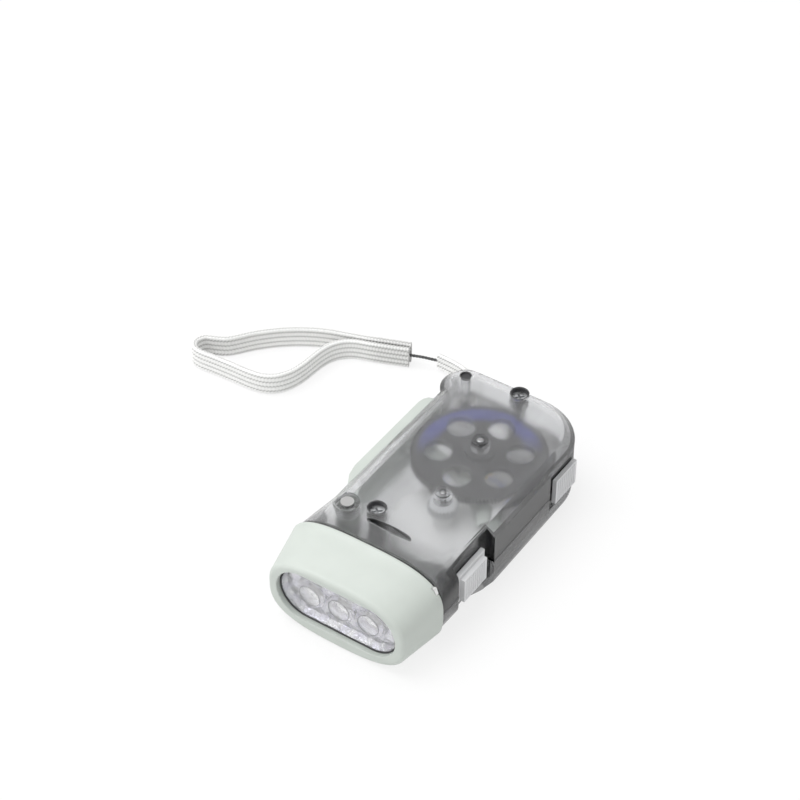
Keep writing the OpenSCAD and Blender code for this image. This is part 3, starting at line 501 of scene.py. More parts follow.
@dataclass(frozen=True)
class Braided(Finish):
    """Braided yarn: painted shade in the grooves, darker than the crowns, and fine fibres along the stitches."""

    crown: Colour
    groove: Colour
    fibre: float = 0.14

    def paint(self, g: Graph) -> None:
        """Adds the yarn, shaded by the piece's relief.

        Args:
            g: node tree to add to.
        """
        relief = g.add("Attribute", attribute_name="relief").outputs["Fac"]
        # Painted shade: the relief's grooves take the darker groove colour.
        tone = g.blend(g.spread(relief, 0, 1, 0.1, 0.75), self.groove, self.crown)
        yarn = g.noise(self.fibre, 3)
        g.principled(
            Base_Color=g.blend(g.spread(yarn, 0, 0.25), tone, self.groove),
            Roughness=g.spread(yarn, 0.68, 0.85),
            Sheen_Weight=0.25,
            Sheen_Roughness=0.5,
            Normal=g.bump(yarn, 0.06, 0.7),
        )


@dataclass(frozen=True)
class Board(Finish):
    """Circuit board: green lacquer over paler copper tracks."""

    lacquer: Colour
    track: Colour

    def paint(self, g: Graph) -> None:
        """Adds the lacquered tracks.

        Args:
            g: node tree to add to.
        """
        weave = g.add("TexBrick", {
            "Vector": g.coords["Object"], "Scale": 180.0, "Mortar Size": 0.06,
            "Color1": (*self.lacquer, 1.0), "Color2": (*shade(self.lacquer, 0.85), 1.0),
            "Mortar": (*self.track, 1.0)})
        g.principled(
            Base_Color=weave.outputs["Color"],
            Roughness=g.spread(g.noise(2, 3), 0.3, 0.5),
            Coat_Weight=0.4,
            Normal=g.bump(weave.outputs["Fac"], 0.03, 0.6),
        )


FINISHES: dict[Slot, Finish] = {
    # Smoked shell: its face colour, and the wall colour that its painted shade blends to.
    Slot.SMOKED: Smoked((0.9, 0.906, 0.918), (0.004, 0.0042, 0.0047)),
    Slot.MINT: Moulded((0.57, 0.612, 0.573), 0.5, 0.03, 0.05),
    Slot.CLEAR: Clear((0.97, 0.97, 0.99), 0.14),
    Slot.CHROME: Mirror((0.99, 0.99, 0.99), (0.9, 0.89, 0.97)),
    Slot.RESIN: Clear((0.98, 0.98, 0.95), 0.9, 0.1, 0.92),
    Slot.BOARD: Board((0.1, 0.3, 0.14), (0.3, 0.42, 0.2)),
    Slot.WHITE: Moulded((0.93, 0.93, 0.92), 0.4, grey_above=23.0),
    Slot.STEEL: Metal((0.36, 0.36, 0.365), 0.35),
    Slot.DARK_GEAR: GearWithPaintedSheen((0.03, 0.03, 0.033), (0.045, 0.055, 0.26)),
    Slot.BRASS: Metal((0.78, 0.6, 0.3), 0.3),
    Slot.FERRITE: Moulded((0.05, 0.05, 0.055), 0.6, 0.05, 0.2),
    Slot.PLATED: Metal((0.55, 0.56, 0.57), 0.3),
    Slot.COPPER: Metal((0.8, 0.4, 0.2), 0.3, 0.02, 0.2),
    Slot.BLUE_WIRE: Moulded((0.05, 0.1, 0.55), 0.35, 0.02, 0.15),
    Slot.GREY: Moulded((0.7, 0.705, 0.715), 0.38, 0.02, 0.05),
    Slot.BLACK: Moulded((0.035, 0.035, 0.038), 0.4, 0.02, 0.2),
    # Braids: crown colour, and groove colour for the painted shade between stitches.
    Slot.BRAID: Braided((0.97, 0.97, 0.96), (0.33, 0.33, 0.32)),
    Slot.LINK: Braided((0.1, 0.1, 0.1), (0.03, 0.03, 0.03), 0.08),
}


@dataclass
class Route:
    """Smooth run through given points."""

    points: Sequence[Sequence[float]]
    steps: int = 10
    line: list[Vector] = field(default_factory=list)
    reach: list[float] = field(default_factory=list)

    def __post_init__(self) -> None:
        """Samples the run and measures along it."""
        p = [Vector(q) for q in self.points]
        last = len(p) - 1
        for i in range(last):
            a, b, c, d = p[max(0, i - 1)], p[i], p[i + 1], p[min(last, i + 2)]
            for k in range(self.steps):
                t = k / self.steps
                self.line.append(0.5 * (2 * b + (c - a) * t + (2 * a - 5 * b + 4 * c - d) * t * t
                                        + (3 * b - a - 3 * c + d) * t ** 3))
        self.line.append(p[last])
        self.reach = [0.0]
        for a, b in zip(self.line, self.line[1:]):
            self.reach.append(self.reach[-1] + (b - a).length)

    @property
    def length(self) -> float:
        """Length of the whole run."""
        return self.reach[-1]

    def at(self, share: float) -> tuple[Vector, Vector]:
        """Point and direction at a share of the length.

        Args:
            share: from 0 at the start to 1 at the end.

        Returns:
            The point, and the unit direction of travel there.
        """
        goal = share * self.length
        low = min(bisect_right(self.reach, goal) - 1, len(self.line) - 2)
        t = (goal - self.reach[low]) / (self.reach[low + 1] - self.reach[low])
        before = self.line[low + 1] - self.line[max(0, low - 1)]
        after = self.line[min(len(self.line) - 1, low + 2)] - self.line[low]
        return self.line[low].lerp(self.line[low + 1], t), before.lerp(after, t).normalized()


def polar(axis: Pair, r: float, turn: float, z: float) -> Vector:
    """Point at a radius and a bearing, in radians, from an upright axis."""
    return Vector((axis[0] + r * cos(turn), axis[1] + r * sin(turn), z))


def wrapped(around: int, along: int, place: Place, capped: bool = True, tone: Tone | None = None) -> BMesh:
    """Rolls a flat grid to a tube.

    Args:
        around: faces round the section.
        along: faces along the run.
        place: gives the point for a share round and a share along.
        capped: True where the tube's two ends are closed by a face.
        tone: gives the height of the relief there, which the finish shades by.

    Returns:
        The tube in metres, with its seam merged and its faces turned outwards.
    """
    bm = bmesh.new()
    layer = bm.verts.layers.float.new("relief") if tone else None
    bmesh.ops.create_grid(bm, x_segments=around, y_segments=along, size=0.5)
    for v in bm.verts:
        u, w = v.co.x + 0.5, v.co.y + 0.5
        if layer:
            v[layer] = tone(u, w)
        v.co = place(u, w) * MM
    bmesh.ops.remove_doubles(bm, verts=bm.verts, dist=1e-7)
    if capped:
        bmesh.ops.holes_fill(bm, edges=[e for e in bm.edges if e.is_boundary], sides=0)
    bmesh.ops.recalc_face_normals(bm, faces=bm.faces)
    return bm


def tube(route: Route, radius: float, sides: int, along: int) -> BMesh:
    """Round tube along a route.

    Args:
        route: its middle line.
        radius: its radius.
        sides: faces round it.
        along: faces along it.

    Returns:
        The closed tube.
    """
    side = Vector((0, 0, 1)).cross(route.at(0)[1]).normalized()
    frames = []
    for k in range(along + 1):
        point, way = route.at(k / along)
        side = (side - way * side.dot(way)).normalized()
        frames.append((point, side, way.cross(side)))

    def place(u: float, v: float) -> Vector:
        """Point of the tube's skin."""
        point, across, up = frames[round(v * along)]
        return point + radius * (cos(tau * u) * across + sin(tau * u) * up)

    return wrapped(sides, along, place)


def joined(parts: Sequence[BMesh]) -> BMesh:
    """Puts several meshes into one.

    Args:
        parts: the meshes, which are freed.

    Returns:
        The whole.
    """
    whole = bmesh.new()
    for bm in parts:
        mesh = bpy.data.meshes.new("part")
        bm.to_mesh(mesh)
        bm.free()
        whole.from_mesh(mesh)
        bpy.data.meshes.remove(mesh)
    return whole


def linked(name: str, data: Any) -> Object:
    """Puts a new object into the scene.

    Args:
        name: name of the object.
        data: its mesh, lamp or camera.

    Returns:
        The object.
    """
    made = bpy.data.objects.new(name, data)
    bpy.context.scene.collection.objects.link(made)
    return made


def placed(bm: BMesh, name: str, crease: float = 40) -> Object:
    """Turns a mesh into a smooth object.

    Args:
        bm: the mesh, in metres; it is freed.
        name: name of the object.
        crease: angle in degrees past which an edge stays sharp.

    Returns:
        The new object.
    """
    mesh = bpy.data.meshes.new(name)
    bm.to_mesh(mesh)
    bm.free()
    for attribute in [a for a in mesh.attributes if a.name == "custom_normal"]:
        mesh.attributes.remove(attribute)
    mesh.shade_smooth()
    mesh.set_sharp_from_angle(angle=radians(crease))
    return linked(name, mesh)


@dataclass
class Bench:
    """The loaded frame and its finishes, which turns meshes into pieces of the part."""

    frame: dict[str, Any]
    pieces: dict[str, Object] = field(default_factory=dict)
    made: dict[Slot, Material] = field(default_factory=dict)

    def copied(self, node: str) -> BMesh:
        """Copies a CAD node's mesh and merges its loose triangles.

        Args:
            node: name of the CAD node.

        Returns:
            The copy.
        """
        bm = bmesh.new()
        bm.from_mesh(self.frame["nodes"][node].data)
        bmesh.ops.remove_doubles(bm, verts=bm.verts, dist=1e-6)
        return bm

    def piece(self, bm: BMesh, name: str, body: Body, *nodes: str, crease: float = 40) -> Object:
        """Turns a mesh into a piece that rides on a body.

        Args:
            bm: the mesh, in metres; it is freed.
            name: name of the piece.
            body: body it moves with.
            *nodes: CAD nodes that it stands for.
            crease: angle in degrees past which an edge stays sharp.

        Returns:
            The new object.
        """
        made = self.pieces[name] = placed(bm, name, crease)
        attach(made, body.value)
        if nodes:
            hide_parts(*nodes)
        LOG.info("%s: %d faces, rides on %s", name, len(made.data.polygons), body.value)
        return made

    def softened(self, node: str, name: str, body: Body, radius: float, crease: float = 33) -> None:
        """Copies a CAD node and rounds its hard edges, as a mould leaves them.

        Args:
            node: CAD node to copy and stand for.
            name: name of the piece.
            body: body it moves with.
            radius: width of the rounding, or 0 where edges stay as they are.
            crease: angle in degrees past which an edge counts as hard.
        """
        bm = self.copied(node)
        bmesh.ops.dissolve_limit(bm, angle_limit=radians(0.6), verts=bm.verts, edges=bm.edges)
        made = self.piece(bm, name, body, node, crease=crease)
        if radius:
            edge = made.modifiers.new("rounding", "BEVEL")
            edge.limit_method = "ANGLE"
            edge.angle_limit = radians(crease)
            edge.width = radius * MM
            edge.segments = 2

    def dress(self, name: str, slot: Slot) -> None:
        """Gives a piece or a CAD node its finish.

        Args:
            name: name of the piece or the node.
            slot: slot of the finish, whose material is made on first use.
        """
        if slot not in self.made:
            self.made[slot] = bpy.data.materials.new(slot.value)
            FINISHES[slot].paint(Graph(self.made[slot]))
        piece = self.pieces.get(name)
        target = piece or self.frame["nodes"][name]
        target.data.materials.clear()
        target.data.materials.append(self.made[slot])


@dataclass(frozen=True)
class Softbox:
    """Soft lamp: where it hangs, the point it looks at, the side of its square face, and its watts."""

    name: str
    place: Point
    aim: Point
    size: float
    power: float

    def hang(self) -> None:
        """Puts the lamp into the scene."""
        data = bpy.data.lights.new(self.name, "AREA")
        data.size = self.size * MM
        data.energy = self.power
        made = linked(self.name, data)
        made.location = Vector(self.place) * MM
        made.rotation_euler = (Vector(self.place) - Vector(self.aim)).to_track_quat("Z", "Y").to_euler()


@dataclass
class Studio:
    """Pale floor, soft light and the camera of the photograph."""

    eye: Point = (249.1, -387.15, 466.61)
    back: Point = (0.41854, -0.61885, 0.66471)
    heading: float = 34.0713
    focal: float = 2205.86
    image: int = 800
    floor_size: float = 6000.0
    glow: float = 0.8
    room: Pair = (0.6, 1.0)
    lamps: Sequence[Softbox] = (
        Softbox("overhead_softbox", (-420, -180, 1100), (0, 10, 10), 1000, 11.5),
        Softbox("front_softbox", (-450, -1000, 500), (0, 0, 10), 700, 0.8))

    def build(self) -> None:
        """Makes the camera, the floor, the lamps and the world."""
        self.camera()
        self.floor()
        for lamp in self.lamps:
            lamp.hang()
        self.world()
        bpy.context.scene.view_settings.view_transform = "Standard"

    def camera(self) -> None:
        """Places the camera where the photograph was taken from."""
        data = bpy.data.cameras.new("camera")
        data.angle = 2 * atan(self.image / 2 / self.focal)
        data.clip_start = 0.01
        made = linked("camera", data)
        turn = radians(self.heading)
        right = Vector((cos(turn), sin(turn), 0))
        back = Vector(self.back).normalized()
        turned = Matrix((right, back.cross(right), back)).transposed().to_4x4()
        made.matrix_world = Matrix.Translation(Vector(self.eye) * MM) @ turned
        bpy.context.scene.camera = made

    def seen(self, g: Graph) -> NodeSocket:
        """1 for the rays by which the background is seen, straight or mirrored or through glass."""
        path = g.add("LightPath").outputs
        return g.most(*(path[f"Is {kind} Ray"] for kind in ("Glossy", "Transmission", "Camera")))

    def floor(self) -> None:
        """Lays the floor, which keeps the part's shadow and is white round it."""
        bm = bmesh.new()
        bmesh.ops.create_grid(bm, x_segments=1, y_segments=1, size=self.floor_size / 2 * MM)
        made = placed(bm, "floor")
        made.data.materials.append(bpy.data.materials.new("floor_white"))
        g = Graph(made.data.materials[0])
        g.principled(Base_Color=(0.9, 0.9, 0.9, 1), Roughness=0.9, Specular_IOR_Level=0.1)
        lit, glow = g.tree.nodes["Principled BSDF"], g.add("Emission", {"Strength": 1.0})
        mixed = g.add("MixShader", {0: g.times(self.seen(g), self.glow), 1: lit.outputs[0], 2: glow.outputs[0]})
        g.feed(g.tree.nodes["Material Output"].inputs["Surface"], mixed.outputs[0])

    def world(self) -> None:
        """Fills the room with even light, and shows white behind the floor."""
        bpy.context.scene.world = bpy.data.worlds.new("room")
        g = Graph(bpy.context.scene.world)
        back = g.tree.nodes["Background"].inputs
        g.feed(back["Color"], (1, 1, 1, 1))
        g.feed(back["Strength"], g.spread(self.seen(g), *self.room, 0, 1))


@dataclass
class Assembly:
    """A sub-assembly, with the finish of each piece that it builds and of each CAD node that it keeps."""

    bench: Bench
    finishes: Finishes = ()

    def build(self) -> None:
        """Makes the pieces."""
        raise NotImplementedError

    def dress(self) -> None:
        """Gives each piece and CAD node its finish."""
        for name, slot in self.finishes:
            self.bench.dress(name, slot)


@dataclass
class Strap(Assembly):
    """Wrist strap: a braided loop sewn to itself, a thin link and a short braided tab in the casing's ear."""

    finishes: Finishes = (
        ("strap_loop_braid", Slot.BRAID), ("strap_tab_braid", Slot.BRAID), ("strap_link_twist", Slot.LINK))
    loop_points: Sequence[Pair] = (
        (-51.4, 62.3), (-55.6, 60.6), (-60, 58.9), (-64.2, 57.4), (-68, 56), (-71.2, 53.8), (-73.6, 50.4),
        (-74.8, 46), (-75.2, 41.5), (-75.6, 37), (-76.6, 32.6), (-78.8, 28.6), (-82.4, 26), (-87, 25),
        (-92, 24.8), (-97, 24.6), (-102, 24.3), (-106.4, 24), (-109.6, 24.9), (-111, 27.6), (-109.8, 30.6),
        (-106.6, 32.2), (-103.4, 34), (-101, 36.8), (-98.4, 40.4), (-95.2, 44), (-91.4, 47.6), (-87.2, 50.8),
        (-82.6, 53.6), (-77.8, 55.8), (-73, 57.4), (-68.6, 58.8), (-64.6, 60.2), (-60.4, 61.8), (-56.2, 63.4),
        (-52.2, 64.9))
    tab_points: Sequence[Point] = (
        (-19.2, 47.5, 9), (-20, 52, 9), (-22.5, 56.5, 8.6), (-27, 60.5, 7.4), (-32.5, 63.5, 6),
        (-38, 65.2, 4.8), (-42.4, 66, 4.2))
    link_points: Sequence[Point] = (
        (-41.4, 66, 4.3), (-42.6, 66, 4.2), (-45, 65.6, 4), (-48, 64.8, 4), (-51.2, 63.6, 4), (-52.6, 63.3, 4))
    loop_width: float = 8.0
    loop_thickness: float = 2.0
    loop_rows: int = 10
    tab_width: float = 6.4
    tab_thickness: float = 1.8
    tab_rows: int = 8
    row_faces: int = 8
    stitch_faces: int = 6
    post: Pair = (-18.4, 44.2)
    post_ring: float = 2.6
    tab_height: float = 9.0
    strand_r: float = 0.3
    strand_off: float = 0.22
    strand_turn: float = 0.75
    strand_steps: int = 48
    sewn: float = 13.0
    stitch: float = 1.05
    slant: float = 0.45
    relief: float = 0.32
    crease: float = 70.0

    def tape(self, route: Route, width: float, thickness: float, rows: int, sewn: float = 0.0) -> BMesh:
        """Braided tape that stands on edge along a route.

        Args:
            route: its middle line.
            width: its width, which stands upright.
            thickness: its thickness.
            rows: rows of chevron stitches round its section.
            sewn: length at each end over which it is sewn, and shown greyer.

        Returns:
            The tape, with its relief as a point attribute.
        """
        stitches = round(route.length / self.stitch)
        flat = width - thickness
        whole = 2 * (flat + pi * thickness / 2)

        def outline(u: float) -> tuple[float, float, Vector]:
            """Section of the tape.

            Args:
                u: share round it.

            Returns:
                Offsets across and up of its skin there, and the way out of the skin.
            """
            run = (u % 0.5) * whole
            sign = 1 if u % 1 < 0.5 else -1
            if run < flat:
                return sign * thickness / 2, sign * (run - flat / 2), Vector((sign, 0))
            turn = (run - flat) / (thickness / 2)
            out = sign * Vector((cos(turn), sin(turn)))
            return out.x * thickness / 2, sign * flat / 2 + out.y * thickness / 2, out

        def height(u: float, v: float) -> float:
            """Relief of the stitch.

            Args:
                u: share round the section.
                v: share along the tape.

            Returns:
                Its height, from 0 in a groove to 1 on a crown.
            """
            place = u * rows
            off = abs(2 * (place % 1.0) - 1)
            beat = abs(cos(pi * (v * stitches + self.slant * off + 0.5 * (int(place) % 2))))
            gap = beat ** 3 * (0.2 + 0.8 * off ** 1.3)
            return (1 - 0.5 * off ** 3) * (1 - gap)

        def place(u: float, v: float) -> Vector:
            """Puts a point on the tape's skin.

            Args:
                u: share round the section.
                v: share along the tape.

            Returns:
                The point.
            """
            point, way = route.at(v)
            side = Vector((way.y, -way.x, 0)).normalized()
            x, z, out = outline(u)
            lift = self.relief * (height(u, v) - 1)
            return point + side * (x + out.x * lift) + Vector((0, 0, z + out.y * lift))

        def shown(u: float, v: float) -> float:
            """Relief as the finish shades it, with the sewn ends greyer."""
            past = min(v, 1 - v) * route.length - sewn
            return height(u, v) * (0.85 + 0.15 * tanh(past / 3) if sewn else 1.0)

        return wrapped(rows * self.row_faces, stitches * self.stitch_faces, place, tone=shown)

    def twist(self) -> BMesh:
        """Lays the link's two strands round each other.

        Returns:
            The link, with an even relief.
        """
        run = Route(self.link_points)
        strands = []
        for start in (0.0, pi):
            points = []
            for k in range(self.strand_steps + 1):
                point, way = run.at(k / self.strand_steps)
                side = Vector((way.y, -way.x, 0)).normalized()
                turn = start + k * self.strand_turn
                points.append(point + self.strand_off * (side * cos(turn) + Vector((0, 0, sin(turn)))))
            strands.append(tube(Route(points, 2), self.strand_r, sides=10, along=2 * self.strand_steps))
        bm = joined(strands)
        layer = bm.verts.layers.float.new("relief")
        for v in bm.verts:
            v[layer] = 0.6
        return bm

    def build(self) -> None:
        """Makes the loop, the tab with its eye round the post, and the twisted link."""
        self.loop_route = Route([(x, y, self.loop_width / 2) for x, y in self.loop_points])
        loop = self.tape(self.loop_route, self.loop_width, self.loop_thickness, self.loop_rows, self.sewn)
        eye = [polar(self.post, self.post_ring, t * pi / 8, self.tab_height) for t in range(17)]
        tab = joined([self.tape(Route(points), self.tab_width, self.tab_thickness, self.tab_rows)
                      for points in (self.tab_points, eye)])
        self.loop, self.tab, self.link = (
            self.bench.piece(bm, f"{node}_{kind}", Body.CASING, node, crease=self.crease)
            for bm, node, kind in ((loop, "strap_loop", "braid"), (tab, "strap_tab", "braid"),
                                   (self.twist(), "strap_link", "twist")))

    def dress(self) -> None:
        super().dress()


@dataclass
class Casing(Assembly):
    """Two smoky half shells and the screws that hold them, with dark pieces of painted shade in the holes and
    along the parting line.
    """

    finishes: Finishes = (
        ("upper_casing", Slot.SMOKED), ("lower_casing", Slot.SMOKED), ("hole_shade", Slot.BLACK),
        ("seam_shade", Slot.BLACK), ("case_screws", Slot.PLATED))
    edge: float = 0.4
    top_z: float = 25.4
    seam_z: float = 13.2
    seam_x: float = 20.0
    seam_h: float = 0.4
    seam_out: float = 0.03
    # Holes lined with a dark sleeve of painted shade: x, y, radius and depth of each.
    shade_sleeves: Sequence[tuple[float, float, float, float]] = (
        (-8.295, -18.26, 2.54, 1.55), (-0.5, 46.4, 2.54, 1.55), (-18.4, 44.2, 1.46, 0.6))

    def shade_sleeve(self, x: float, y: float, radius: float, depth: float) -> BMesh:
        """Dark sleeve of painted shade on the wall of a screw hole, or of the shallow hole over the strap post,
        which has a floor too.

        Args:
            x: place of its axis.
            y: place of its axis.
            radius: radius of the hole.
            depth: how deep the wall goes.

        Returns:
            A thin turned sleeve with a flared mouth.
        """
        inner = radius if depth > 1 else 0.02
        rings = [(radius + 0.42, 0.02), (radius + 0.3, -0.06), (radius + 0.08, -0.3), (radius, -0.5),
                 (inner, -depth), (inner, -depth - 0.05), (radius + 0.03, -0.55), (radius + 0.12, -0.32),
                 (radius + 0.33, -0.1)]

        def place(u: float, v: float) -> Vector:
            """Point of the sleeve."""
            r, z = rings[round(v * len(rings)) % len(rings)]
            return polar((x, y), r, tau * u, self.top_z + z)

        return wrapped(64, len(rings), place, capped=False)

    def seam(self, node: str, rise: float) -> BMesh:
        """Dark sliver of painted shade on one shell along the parting line of the right side, where the seam's
        gap lies in shade.

        Args:
            node: CAD node of the shell.
            rise: how far up from the parting plane it reaches, or down if negative.

        Returns:
            A thin closed slice of the shell's wall, set out by a hair.
        """
        bm = self.bench.copied(node)
        for place, way in (((0, 0, self.seam_z + rise), (0, 0, copysign(1, rise))),
                           ((self.seam_x, 0, 0), (-1, 0, 0))):
            bmesh.ops.bisect_plane(bm, geom=[*bm.verts, *bm.edges, *bm.faces], plane_co=Vector(place) * MM,
                                   plane_no=way, clear_outer=True)
            bmesh.ops.holes_fill(bm, edges=[e for e in bm.edges if e.is_boundary], sides=0)
        bmesh.ops.translate(bm, verts=bm.verts, vec=(self.seam_out * MM, 0, 0))
        bmesh.ops.recalc_face_normals(bm, faces=bm.faces)
        return bm

    def build(self) -> None:
        """Copies the shells with moulded edges, lines the holes in the top with painted shade and marks the
        parting line with a sliver of painted shade.
        """
        for side in ("upper", "lower"):
            self.bench.softened(f"{side}_shell", f"{side}_casing", Body.CASING, self.edge)
        self.bench.piece(joined([self.shade_sleeve(*w) for w in self.shade_sleeves]), "hole_shade", Body.CASING)
        line = [self.seam("upper_shell", self.seam_h), self.seam("lower_shell", -self.seam_h)]
        self.bench.piece(joined(line), "seam_shade", Body.CASING)


@dataclass
class Head(Assembly):
    """Bezel, lens, reflector and lamps."""

    finishes: Finishes = (
        ("bezel_cap", Slot.MINT), ("reflector_tray", Slot.CHROME), ("lamp_chips", Slot.PLATED),
        ("lens_seal_shade", Slot.BLACK), ("lens_step_shade", Slot.STEEL), ("lens_pane", Slot.CLEAR), ("leds", Slot.RESIN),
        ("led_board", Slot.BOARD), ("lamp_holder", Slot.WHITE))
    lamp_x: float = -1.0
    joint_x: float = -1.5
    lamp_z: float = 13.2
    joint_y: float = -33.16
    front_y: float = -49.96
    half_w: float = 26.0
    half_h: float = 14.2
    taper_w: float = 2.7
    taper_h: float = 2.1
    skin_in: Pair = (0.18, 0.14)
    drop: float = 0.5
    lip: float = 1.5
    lip_power: float = 2.8
    window_w: float = 40.4
    window_h: float = 17.8
    lens_y: float = -47.96
    lens_w: float = 42.3
    lens_h: float = 19.7
    seat_y: float = -36.56
    seat_w: float = 23.8
    seat_h: float = 12.0
    clip_turn: float = 20.5
    clip_y: float = -34.3
    clip_half: float = 1.3
    clip_depth: float = 1.8
    mirror_y: float = -46.36
    mirror_d: float = 6.6
    field_d: float = 1.7
    flutes: int = 7
    lamps: Sequence[int] = (-1, 0, 1)
    lamp_step: float = 10.0
    cup_r: float = 4.7
    cup_d: float = 2.5
    led_r: float = 2.5
    chip_d: float = 4.6
    chip_r: Pair = (0.9, 1.5)
    chip_h: float = 0.7
    chip_edge: float = 0.15
    chip_sunk: float = 0.4
    eye_r: float = 3.5
    step_r: float = 0.11
    border: float = 3.4
    seal_r: float = 0.28

    def front(self, offset: Pair, y: float) -> Vector:
        """Point at an offset across and up from the middle lamp's axis."""
        return Vector((self.lamp_x + offset[0], y, self.lamp_z + offset[1]))

    def oval(self, u: float, half_w: float, half_h: float, power: float) -> Pair:
        """Point of a rounded box outline at a share round it."""
        c, s = cos(tau * u), sin(tau * u)
        return half_w * copysign(abs(c) ** (2 / power), c), half_h * copysign(abs(s) ** (2 / power), s)

    def slot(self, u: float, width: float, height: float) -> Pair:
        """Point of a round-ended outline in the same bearing as the lip's point.

        Args:
            u: share round the outline.
            width: its whole width.
            height: its whole height.

        Returns:
            The point's offsets across and up.
        """
        x, z = self.oval(u, self.half_w, self.half_h, self.lip_power)
        r = height / 2
        run = (width - height) / 2
        if abs(x) * r <= run * abs(z):
            return x * r / abs(z), copysign(r, z)
        lean = hypot(x, z)
        x, z = x / lean, z / lean
        along = abs(x) * run + sqrt(max(0.0, r * r - (z * run) ** 2))
        return x * along, z * along

    def bezel(self) -> BMesh:
        """Lofts the bezel, from its rear rim over its lip and back along the inside.

        Returns:
            The closed skin.
        """
        wide, tall = self.half_w, self.half_h
        end_w, end_h = wide - self.taper_w, tall - self.taper_h + self.drop
        skin_w, skin_h = wide - self.skin_in[0], tall - self.skin_in[1]
        rings: list[tuple[Ring, float, float, float, float]] = [
            (Ring.JOINT, self.joint_y - 0.12, wide - 0.15, tall - 0.15, 3),
            (Ring.NOTCH, self.joint_y - 0.4, wide - 0.03, tall - 0.03, 3),
            (Ring.NOTCH, self.clip_y, skin_w, skin_h, 3),
        ]
        for k in range(7):
            t = k / 6
            y = self.clip_y - 0.05 + (self.front_y + self.lip - self.clip_y) * t
            rings.append((Ring.SKIN, y, skin_w + (end_w - skin_w) * t, skin_h + (end_h - skin_h) * t,
                          3 + (self.lip_power - 3) * t))
        for k in range(1, 9):
            turn = pi / 2 * k / 8
            less = self.lip * (1 - cos(turn))
            rings.append((Ring.LIP, self.front_y + self.lip * (1 - sin(turn)), end_w - less, end_h - less,
                          self.lip_power))
        for y, grow in ((0.06, 0.16), (0.2, 0.05), (0.4, 0.0), (1.2, 0.0), (self.lens_y - self.front_y, 0.0)):
            rings.append((Ring.SLOT, self.front_y + y, self.window_w + 2 * grow, self.window_h + 2 * grow, 0))
        rings += [(Ring.SLOT, y, self.lens_w, self.lens_h, 0) for y in (self.lens_y, self.seat_y)]
        rings += [(Ring.INSIDE, y, self.seat_w, self.seat_h, 3) for y in (self.seat_y, self.joint_y)]
        rings += [(Ring.JOINT, self.joint_y, wide - 0.3, tall - 0.3, 3), rings[0]]
        reach = self.front_y + self.lip - self.joint_y
        lean = radians(self.clip_turn)

        def place(u: float, v: float) -> Vector:
            """Puts a point on the bezel's skin.

            Args:
                u: share round the ring.
                v: share along the rings.

            Returns:
                The point.
            """
            kind, y, a, b, power = rings[round(v * (len(rings) - 1))]
            x, z = self.slot(u, a, b) if kind is Ring.SLOT else self.oval(u, a, b, power)
            off = z * cos(lean) - x * sin(lean)
            if kind in (Ring.JOINT, Ring.NOTCH) and abs(off) < self.clip_half and x > 0:
                x, z = (c * (1 - self.clip_depth / hypot(x, z)) for c in (x, z))
            share = 1.0 if kind in (Ring.SLOT, Ring.LIP) else 0.0
            if kind is Ring.SKIN:
                share = max(0.0, min(1.0, (y - self.joint_y) / reach))
            centre = self.joint_x + (self.lamp_x - self.joint_x) * share
            level = self.lamp_z - (0.0 if kind is Ring.SLOT else self.drop * share)
            return Vector((centre + x, y, max(0.0, level + z)))

        return wrapped(288, len(rings) - 1, place, capped=False)

    def edge_of_cell(self, k: int, turn: float) -> float:
        """How far a lamp's cell of the reflector reaches in one bearing.

        Args:
            k: the lamp, from -1 to 1.
            turn: bearing from the lamp, in radians.

        Returns:
            Distance to the next cell or to the tray's border.
        """
        r = (self.lens_h - self.border) / 2
        run = (self.lens_w - self.lens_h) / 2
        low, high = 0.0, 30.0
        for _ in range(24):
            mid = (low + high) / 2
            x, z = mid * cos(turn), mid * sin(turn)
            past = max(0.0, abs(k * self.lamp_step + x) - run)
            held = abs(x) < self.lamp_step / 2 + 0.05 or k * x > 0
            low, high = (mid, high) if held and hypot(past, z) < r else (low, mid)
        return low

    def cell(self, k: int) -> BMesh:
        """Fluted field round one lamp, its bead and its cup.

        Args:
            k: the lamp, from -1 to 1.

        Returns:
            The open skin.
        """
        floor = self.mirror_y + self.field_d
        field = ((1.0, floor, 0.0), (0.75, floor - 0.1, 0.55), (0.45, floor - 0.2, 0.7), (0.12, floor - 0.2, 0.3))
        beads = [(0.26, 0.75), (0.22, 0.3), (0.14, 0.1), (0.04, 0.08), (-0.04, 0.25)]
        base = self.led_r + 0.15
        for t in range(1, 9):
            r = self.cup_r + (base - self.cup_r) * t / 8
            sunk = self.cup_d * (self.cup_r ** 2 - r * r) / (self.cup_r ** 2 - base ** 2)
            beads.append((r - self.cup_r - 0.04, 0.3 + sunk))
        rings = [(self.cup_r + 0.28, *ring) for ring in field]
        rings += [(self.cup_r + grow, 0.0, self.mirror_y + sunk, 0.0) for grow, sunk in beads]

        def place(u: float, v: float) -> Vector:
            """Puts a point on the field, the bead or the cup.

            Args:
                u: share round the lamp.
                v: share along the rings.

            Returns:
                The point.
            """
            turn = tau * u
            r, share, y, flute = rings[round(v * (len(rings) - 1))]
            r += share * (self.edge_of_cell(k, turn) - r)
            y += flute * (0.5 - abs(sin(self.flutes * turn)))
            return self.front((k * self.lamp_step + r * cos(turn), r * sin(turn)), y)

        return wrapped(168, len(rings) - 1, place, capped=False)

    def rim(self) -> BMesh:
        """Lofts the reflector's sloping border and its skirt.

        Returns:
            The open skin.
        """
        rings = [(self.border, self.field_d), (1.2, 0.5), (0.7, 0.2), (0.55, 0.05), (0.5, self.mirror_d)]

        def place(u: float, v: float) -> Vector:
            """Point of the border."""
            less, y = rings[round(v * (len(rings) - 1))]
            return self.front(self.slot(u, self.lens_w - less, self.lens_h - less), self.mirror_y + y)

        return wrapped(168, len(rings) - 1, place, capped=False)

